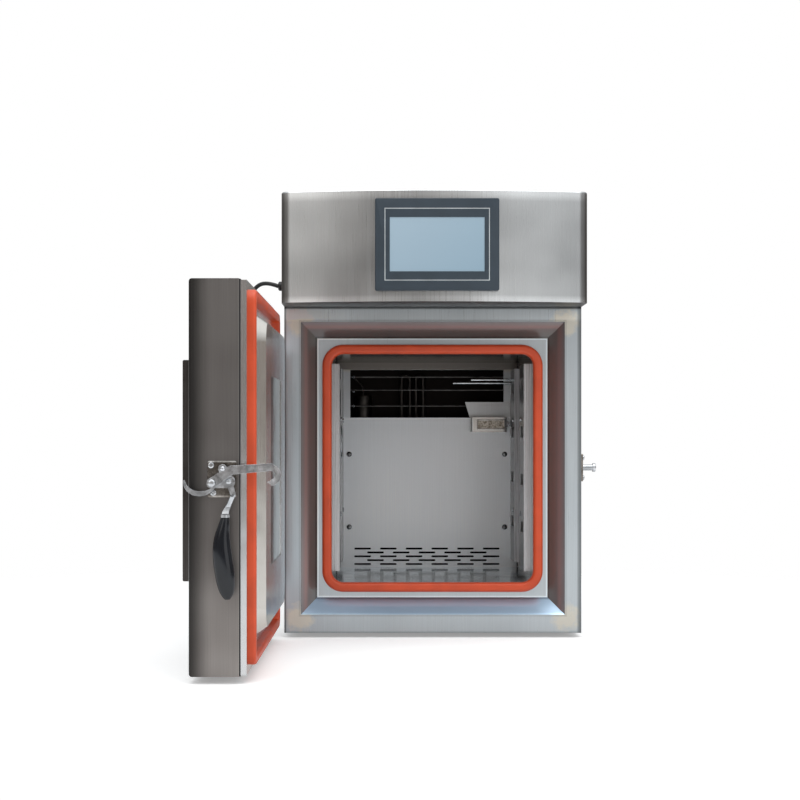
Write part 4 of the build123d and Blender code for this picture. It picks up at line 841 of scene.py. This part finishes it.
# %% Screws of the cabinet
forwards, backwards, rightwards, leftwards = (0, -1, 0), (0, 1, 0), (1, 0, 0), (-1, 0, 0)
baffle_y = (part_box("air_baffle")[0].y - SHIFT.y) * 1000
baffle_screw = dome("baffle_screw_model", 0.0050, 0.0032)
BAFFLE_SCREW_X, BAFFLE_SCREW_Z = (-149, 149), (168.5, 308)
baffle_screws = [(at(x, baffle_y, z), forwards) for x in BAFFLE_SCREW_X for z in BAFFLE_SCREW_Z]
spread(baffle_screw, "baffle_screws", baffle_screws, "cabinet", screw_head)

web_x = (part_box("shelf_rail_front_right")[0].x - SHIFT.x) * 1000
RAIL_SCREW_Y, RAIL_SCREW_Z = (122, 281), (372, 205)
rail_screws = [(at(side * web_x, y, z), (-side, 0, 0))
               for side in (-1, 1) for y in RAIL_SCREW_Y for z in RAIL_SCREW_Z]
spread(screw, "rail_screws", rail_screws, "cabinet", chrome)

strike_low, strike_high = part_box("strike_plate")
strike_mid = (strike_low + strike_high) / 2
STRIKE_DY, STRIKE_DZ = 0.010, 0.017
strike_screws = [(Vector((strike_high.x, strike_mid.y + dy, strike_mid.z + dz)), rightwards)
                 for dy in (-STRIKE_DY, STRIKE_DY) for dz in (-STRIKE_DZ, STRIKE_DZ)]
spread(screw, "strike_screws", strike_screws, "cabinet", chrome)

# the screws stand round the rear panel's edge, so the one in its middle is left out
PANEL_PROUD, REAR_SCREW_X, REAR_SCREW_Z = 0.0015, (-240, 0, 240), (20, 285, 550)
rear_places = [(x, z) for x in REAR_SCREW_X for z in REAR_SCREW_Z if (x, z) != (0, 285)]
rear_screws = [(Vector((at(x, 0, 0).x, body_high.y + PANEL_PROUD, at(0, 0, z).z)), backwards)
               for x, z in rear_places]
spread(screw, "rear_panel_screws", rear_screws, "cabinet", turned_steel)

# %% [markdown]
# The guard wires across the outlet are pressed into bright ferrules at its left edge, which
# show as three bright points in the dark.

# %% Wire ferrules
wire_low, wire_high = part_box("guard_wires")
WIRE_R, FERRULE_X, FERRULE_OUT = 0.0015, -141.5, 0.0008
ferrule = dome("ferrule_model", 0.0024, 0.0050)
wire_ends = [(Vector((at(FERRULE_X, 0, 0).x, wire_low.y - FERRULE_OUT, z)), (0.5, -0.8, 0))
             for z in (wire_low.z + WIRE_R, (wire_low.z + wire_high.z) / 2, wire_high.z - WIRE_R)]
spread(ferrule, "wire_ferrules", wire_ends, "cabinet", chrome)

# %% [markdown]
# Hinge leaves are held by screws, two above each other and two side by side in every leaf.
# The door's own leaves have swung with it, so their screws are placed by the shut door's
# numbers.

# %% Hinge screws
leaf_low, leaf_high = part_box("cabinet_hinge_leaves")
LEAF_X, CABINET_SCREW_Y, DOOR_SCREW_Y = -255.5, (16, 34), (-32, -50)
NEAR_END, FAR_END = 0.018, 0.054
hinge_heights = [leaf_low.z + NEAR_END, leaf_low.z + FAR_END, leaf_high.z - NEAR_END, leaf_high.z - FAR_END]
cabinet_screws = [(at(LEAF_X, y, z * 1000), leftwards) for z in hinge_heights for y in CABINET_SCREW_Y]
spread(screw, "cabinet_hinge_screws", cabinet_screws, "cabinet", turned_steel)
outwards = (swung(253, 0, 0) - swung(252, 0, 0)).normalized()
door_screws = [(swung(LEAF_X, y, z * 1000), -outwards) for z in hinge_heights for y in DOOR_SCREW_Y]
spread(screw, "door_hinge_screws", door_screws, "door", turned_steel)

# %% [markdown]
# The latch carries most of the chamber's small metal: three screws hold its plate, a
# spring stud stands on the root of the hook, and the rivet and the bolt have domed heads.
# Each rides on the body that it is fixed to, so that it moves with it.

# %% Plate screws, stud, rivet and bolt
PLATE_FACE, PLATE_SCREWS = 255.5, ((-61, 302), (-58, 264), (-31, 264))
plate_screws = [(swung(PLATE_FACE, y, z), outwards) for y, z in PLATE_SCREWS]
spread(screw, "latch_screws", plate_screws, "door", chrome)
washer = softened(disc("washer_model", 0.0060, 0.0040), 0.0005)
stud = dome("stud_model", 0.0036, 0.0034)
rivet = dome("rivet_model", 0.0052, 0.0022)
bolt = dome("bolt_model", 0.0040, 0.0026)
TURNED = ((washer, "stud_washer", (264.2, -44.0, 297.6), "latch_hook"),
          (stud, "spring_stud", (268.2, -44.0, 297.6), "latch_hook"),
          (rivet, "rivet_dome", (271.2, -58.9, 277.8), "latch_handle"),
          (bolt, "bolt_dome", (263.7, -36.1, 280), "door"))
for model, name, place, body in TURNED:
    spread(model, name, [(swung(*place), outwards)], body, chrome)

# %% [markdown]
# The latch's plates and hook are stamped, then tumbled and plated, so their edges are
# rounded and catch the light. Each is a copy of the solid, with its triangles merged into
# flat faces first, so that a bevel can round the edges that are left.

# %% Rounded edges on the stamped parts


def rounded(name, width, body, finish):
    """Replaces a CAD node by a copy whose edges are rounded."""
    copy = bpy.data.objects.new(name + "_rounded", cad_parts[name].data.copy())
    bpy.context.collection.objects.link(copy)
    only(copy)
    bpy.ops.object.mode_set(mode="EDIT")
    bpy.ops.mesh.select_all(action="SELECT")
    bpy.ops.mesh.remove_doubles(threshold=0.00002)
    bpy.ops.mesh.dissolve_limited(angle_limit=math.radians(0.2))
    bpy.ops.object.mode_set(mode="OBJECT")
    softened(copy, width)
    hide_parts(name)
    return dressed(copy, body, finish)


# The latch plate's own steel gets painted highlights along its top and bottom edges, with painted shade across
# its middle.
latch_plate_steel = plate_steel.copy()
latch_plate_steel.name = "latch_plate_steel"
plate_low, plate_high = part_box("latch_plate")
PLATE_FOOT_HIGHLIGHT, PLATE_HEAD_HIGHLIGHT = (2.0, 2.1, 2.2), (2.6, 2.9, 3.2)
banded(latch_plate_steel, "Z", (plate_low.z, plate_high.z),
       [(0, PLATE_FOOT_HIGHLIGHT), (0.03, PLATE_FOOT_HIGHLIGHT), (0.06, 0.75), (0.5, 0.5), (0.95, 0.75), (0.97, PLATE_HEAD_HIGHLIGHT),
        (1, PLATE_HEAD_HIGHLIGHT)])
rounded("latch_plate", 0.0006, "door", latch_plate_steel)
rounded("latch_hook", 0.0009, "latch_hook", chrome)
rounded("latch_lever", 0.0005, "latch_handle", chrome)
rounded("strike_plate", 0.0007, "cabinet", plate_steel)
rounded("display_bezel", 0.0009, "cabinet", bezel_plastic)

# %% [markdown]
# The lever's neck is forged: narrow under the hub, and flared to a shoulder where the grip
# is driven on. It is one block, stretched ring by ring down the neck's line, and rounded.

# %% Flared neck
# each ring: height, depth and reach in the shut door's numbers, then its two half widths
NECK = ((263.0, -30.4, 259.9, 2.6, 2.6), (256.0, -32.4, 261.6, 3.1, 2.7), (247.0, -36.0, 264.6, 4.0, 3.0),
        (239.5, -39.2, 268.4, 5.0, 3.6), (235.2, -40.0, 270.3, 5.6, 4.4))


def closed():
    """Fills the open ends of the piece in edit mode, and turns its faces outwards."""
    bpy.ops.mesh.select_mode(type="EDGE")
    bpy.ops.mesh.select_all(action="DESELECT")
    bpy.ops.mesh.select_non_manifold()
    bpy.ops.mesh.fill()
    outward()


def pulled(rise):
    """Extrudes the selected faces of the piece in edit mode upwards."""
    bpy.ops.mesh.extrude_region_move(TRANSFORM_OT_translate={"value": (0, 0, rise)})


neck = block("lever_neck", (-0.5, -0.5, 0), (0.5, 0.5, 1))
edit(neck, lambda c, n: n.z < -0.9, lambda: bpy.ops.mesh.delete(type="FACE"))
for ring in range(len(NECK) - 2):
    edit(neck, top, lambda: pulled(1))
down = (swung(252, 1, 0) - swung(252, 0, 0)).normalized()
for vertex in neck.data.vertices:
    z, y, x, half_y, half_x = NECK[round(vertex.co.z)]
    sideways = down * (math.copysign(half_y, vertex.co.x) / 1000)
    vertex.co = swung(x, y, z) + sideways + outwards * (math.copysign(half_x, vertex.co.y) / 1000)
edit(neck, everywhere, closed)
softened(neck, 0.0011, 3)
dressed(neck, "latch_handle", neck_steel)

# %% [markdown]
# A thin pale line runs round the panel's bezel. It is printed, so it stands a tenth of a
# millimetre above the plastic: a plate with a slightly smaller plate cut out of it.

# %% Printed line on the bezel
bezel_low, bezel_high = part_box("display_bezel")
bezel_mid = (bezel_low + bezel_high) / 2
LINE_W, LINE_H, LINE_T = 0.171, 0.118, 0.0013


def bezel_plate(name, inset, front, back):
    """A plate on the bezel's face, smaller than the printed line's outside by inset."""
    reach = Vector((LINE_W / 2 - inset, 0, LINE_H / 2 - inset))
    centre = Vector((bezel_mid.x, bezel_low.y, bezel_mid.z))
    return block(name, centre - reach + Vector((0, front, 0)), centre + reach + Vector((0, back, 0)))


line = carved(bezel_plate("bezel_line", 0, -0.0001, 0.0003), bezel_plate("line_hole", LINE_T, -0.01, 0.01))
dressed(line, "cabinet", line_paint)

# %% [markdown]
# The water cup has a patch of fine gauze let into its front. It is a grid whose squares are
# each inset, and the sheet is then given a thickness. Its holes are too fine to cut, so the
# weave is left to its steel: a rough mottle of small dark and light spots.

# %% Cup gauze
gauze_steel = steel("gauze", (0.22, 0.18, 0.14), (0.62, 0.57, 0.5), rough=(0.3, 0.5), across=900, along=900,
                    cloud=300, streak=0.3, bump=0.5)
cup_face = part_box("water_cup")[0].y
patch_low, patch_high = at(96, 0, 357.5), at(146, 0, 372.5)
patch_mid = (patch_low + patch_high) / 2
only(floor)
bpy.ops.mesh.primitive_grid_add(x_subdivisions=34, y_subdivisions=11, size=1)
gauze = bpy.context.object
gauze.name = "cup_gauze"
edit(gauze, everywhere, lambda: bpy.ops.mesh.inset(thickness=0.006, depth=0.0, use_individual=True))
upright = Matrix.Rotation(math.radians(90), 4, "X")
size = Matrix.Diagonal((patch_high.x - patch_low.x, patch_high.z - patch_low.z, 1, 1))
gauze.data.transform(Matrix.Translation((patch_mid.x, cup_face - 0.0003, patch_mid.z)) @ upright @ size)
thick = gauze.modifiers.new("thick", "SOLIDIFY")
thick.thickness = 0.0005
thick.offset = -1
only(gauze)
bpy.ops.object.modifier_apply(modifier="thick")
dressed(gauze, "cabinet", gauze_steel)

# %% [markdown]
# A pressed rim holds the gauze: a plate with the patch cut out, rounded. Beside the cup a
# hexagonal nut sits on its stud. The stud's end is drawn up out of the nut's inset top.

# %% Cup rim and nut
RIM_W, RIM_PROUD, RIM_DEEP = 0.002, 0.0009, 0.0004
rim = block("cup_gauze_rim", (patch_low.x - RIM_W, cup_face - RIM_PROUD, patch_low.z - RIM_W),
            (patch_high.x + RIM_W, cup_face + RIM_DEEP, patch_high.z + RIM_W))
hole = block("rim_hole", (patch_low.x, cup_face - 0.01, patch_low.z),
             (patch_high.x, cup_face + 0.01, patch_high.z))
softened(carved(rim, hole), 0.0004)
dressed(rim, "cabinet", polished_steel)
nut = disc("nut_model", 0.0052, 0.004, 6)
edit(nut, top, lambda: bpy.ops.mesh.inset(thickness=0.0016, depth=0.0))
edit(nut, lambda c, n: top(c, n) and c.xy.length < 1e-4, lambda: pulled(0.0025))
softened(nut, 0.0004)
spread(nut, "cup_nut", [(at(153.5, baffle_y, 366), forwards)], "cabinet", chrome)

# %% [markdown]
# Where the door's skin meets its inner pan, the joint is closed by a black sealing strip,
# which shows as a dark line all round the edge of the door. It is a block the size of the
# pan, with a slightly smaller one cut out, both turned with the open door.

# %% Sealing strip round the door
PAN_HALF_W, PAN_LOW, PAN_HIGH = 250.5, 12, 558


def door_block(name, grow, y, half_y):
    """A block as wide and high as the door's pan, grown by grow on each side."""
    made = block(name, (-1, -1, -1), (1, 1, 1))
    middle = (0, y, (PAN_LOW + PAN_HIGH) / 2)
    half = (PAN_HALF_W + grow, half_y, (PAN_HIGH - PAN_LOW) / 2 + grow)
    for vertex in made.data.vertices:
        vertex.co = swung(*(m + math.copysign(h, c) for m, h, c in zip(middle, half, vertex.co)))
    edit(made, everywhere, outward)
    return made


strip = carved(door_block("skin_seal", 1.4, -22.2, 1.3), door_block("strip_hole", -0.6, -22.0, 4))
dressed(strip, "door", black_satin)

# %% [markdown]
# The door's cable carries its heater lead. It leaves the gland on the door's hinge end,
# rises in an arc and goes into the gland on the header. Its line is one smooth spline over
# the route's points, because a stiff cable has no corners.

# %% Line of the door cable
ROUTE = [(-316.5, -7.55, 500), (-316.14, 33.45, 500), (-321.5, 55, 531), (-320.5, 54, 567), (-309.5, 44, 596),
         (-287.5, 34, 609), (-264.5, 30, 600)]
curve = bpy.data.curves.new("cable_line", "CURVE")
curve.dimensions = "3D"
spline = curve.splines.new("NURBS")
spline.points.add(len(ROUTE) - 1)
for point, place in zip(spline.points, ROUTE):
    point.co = (*at(*place), 1)
spline.order_u = 3
spline.use_endpoint_u = True
spline.resolution_u = 12
holder = bpy.data.objects.new("cable_line", curve)
bpy.context.collection.objects.link(holder)
bpy.context.view_layer.update()
line_mesh = bpy.data.meshes.new_from_object(holder)
path = [v.co.copy() for v in line_mesh.vertices]
bpy.data.objects.remove(holder)

# %% [markdown]
# The tube is a ring of faces carried along that line. Each ring's side is turned only as far as the line
# turns, so that the tube has no twist.

# %% Door cable
CABLE_D, SIDES = 0.007, 20
ring = [(math.cos(a), math.sin(a)) for a in (2 * math.pi * k / SIDES for k in range(SIDES))]
verts, faces = [], []
side = Vector((0, 0, 1))
last = len(path) - 1
for k, place in enumerate(path):
    ahead = (path[min(k + 1, last)] - path[max(k - 1, 0)]).normalized()
    side = (side - ahead * side.dot(ahead)).normalized()
    other = ahead.cross(side)
    verts += [place + (side * c + other * s) * CABLE_D / 2 for c, s in ring]
for k in range(last):
    for n in range(SIDES):
        m = (n + 1) % SIDES
        faces.append((k * SIDES + n, k * SIDES + m, (k + 1) * SIDES + m, (k + 1) * SIDES + n))
faces += [tuple(range(SIDES - 1, -1, -1)), tuple(last * SIDES + n for n in range(SIDES))]
cable_mesh = bpy.data.meshes.new("door_lead")
cable_mesh.from_pydata(verts, [], faces)
cable = bpy.data.objects.new("door_lead", cable_mesh)
bpy.context.collection.objects.link(cable)
edit(cable, everywhere, outward)
bpy.ops.object.shade_smooth_by_angle(angle=math.radians(40))
cable.data.materials.append(black_satin)
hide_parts("door_cable")
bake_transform(cable)
print("cable", len(cable.data.polygons), "faces")

# %% [markdown]
# The models that the small parts were copied from have done their work, so they go.

# %% Models go
models = (screw, ferrule, baffle_screw, washer, stud, rivet, bolt, nut)
for model in models:
    bpy.data.objects.remove(model)
print("removed", len(models), "models")
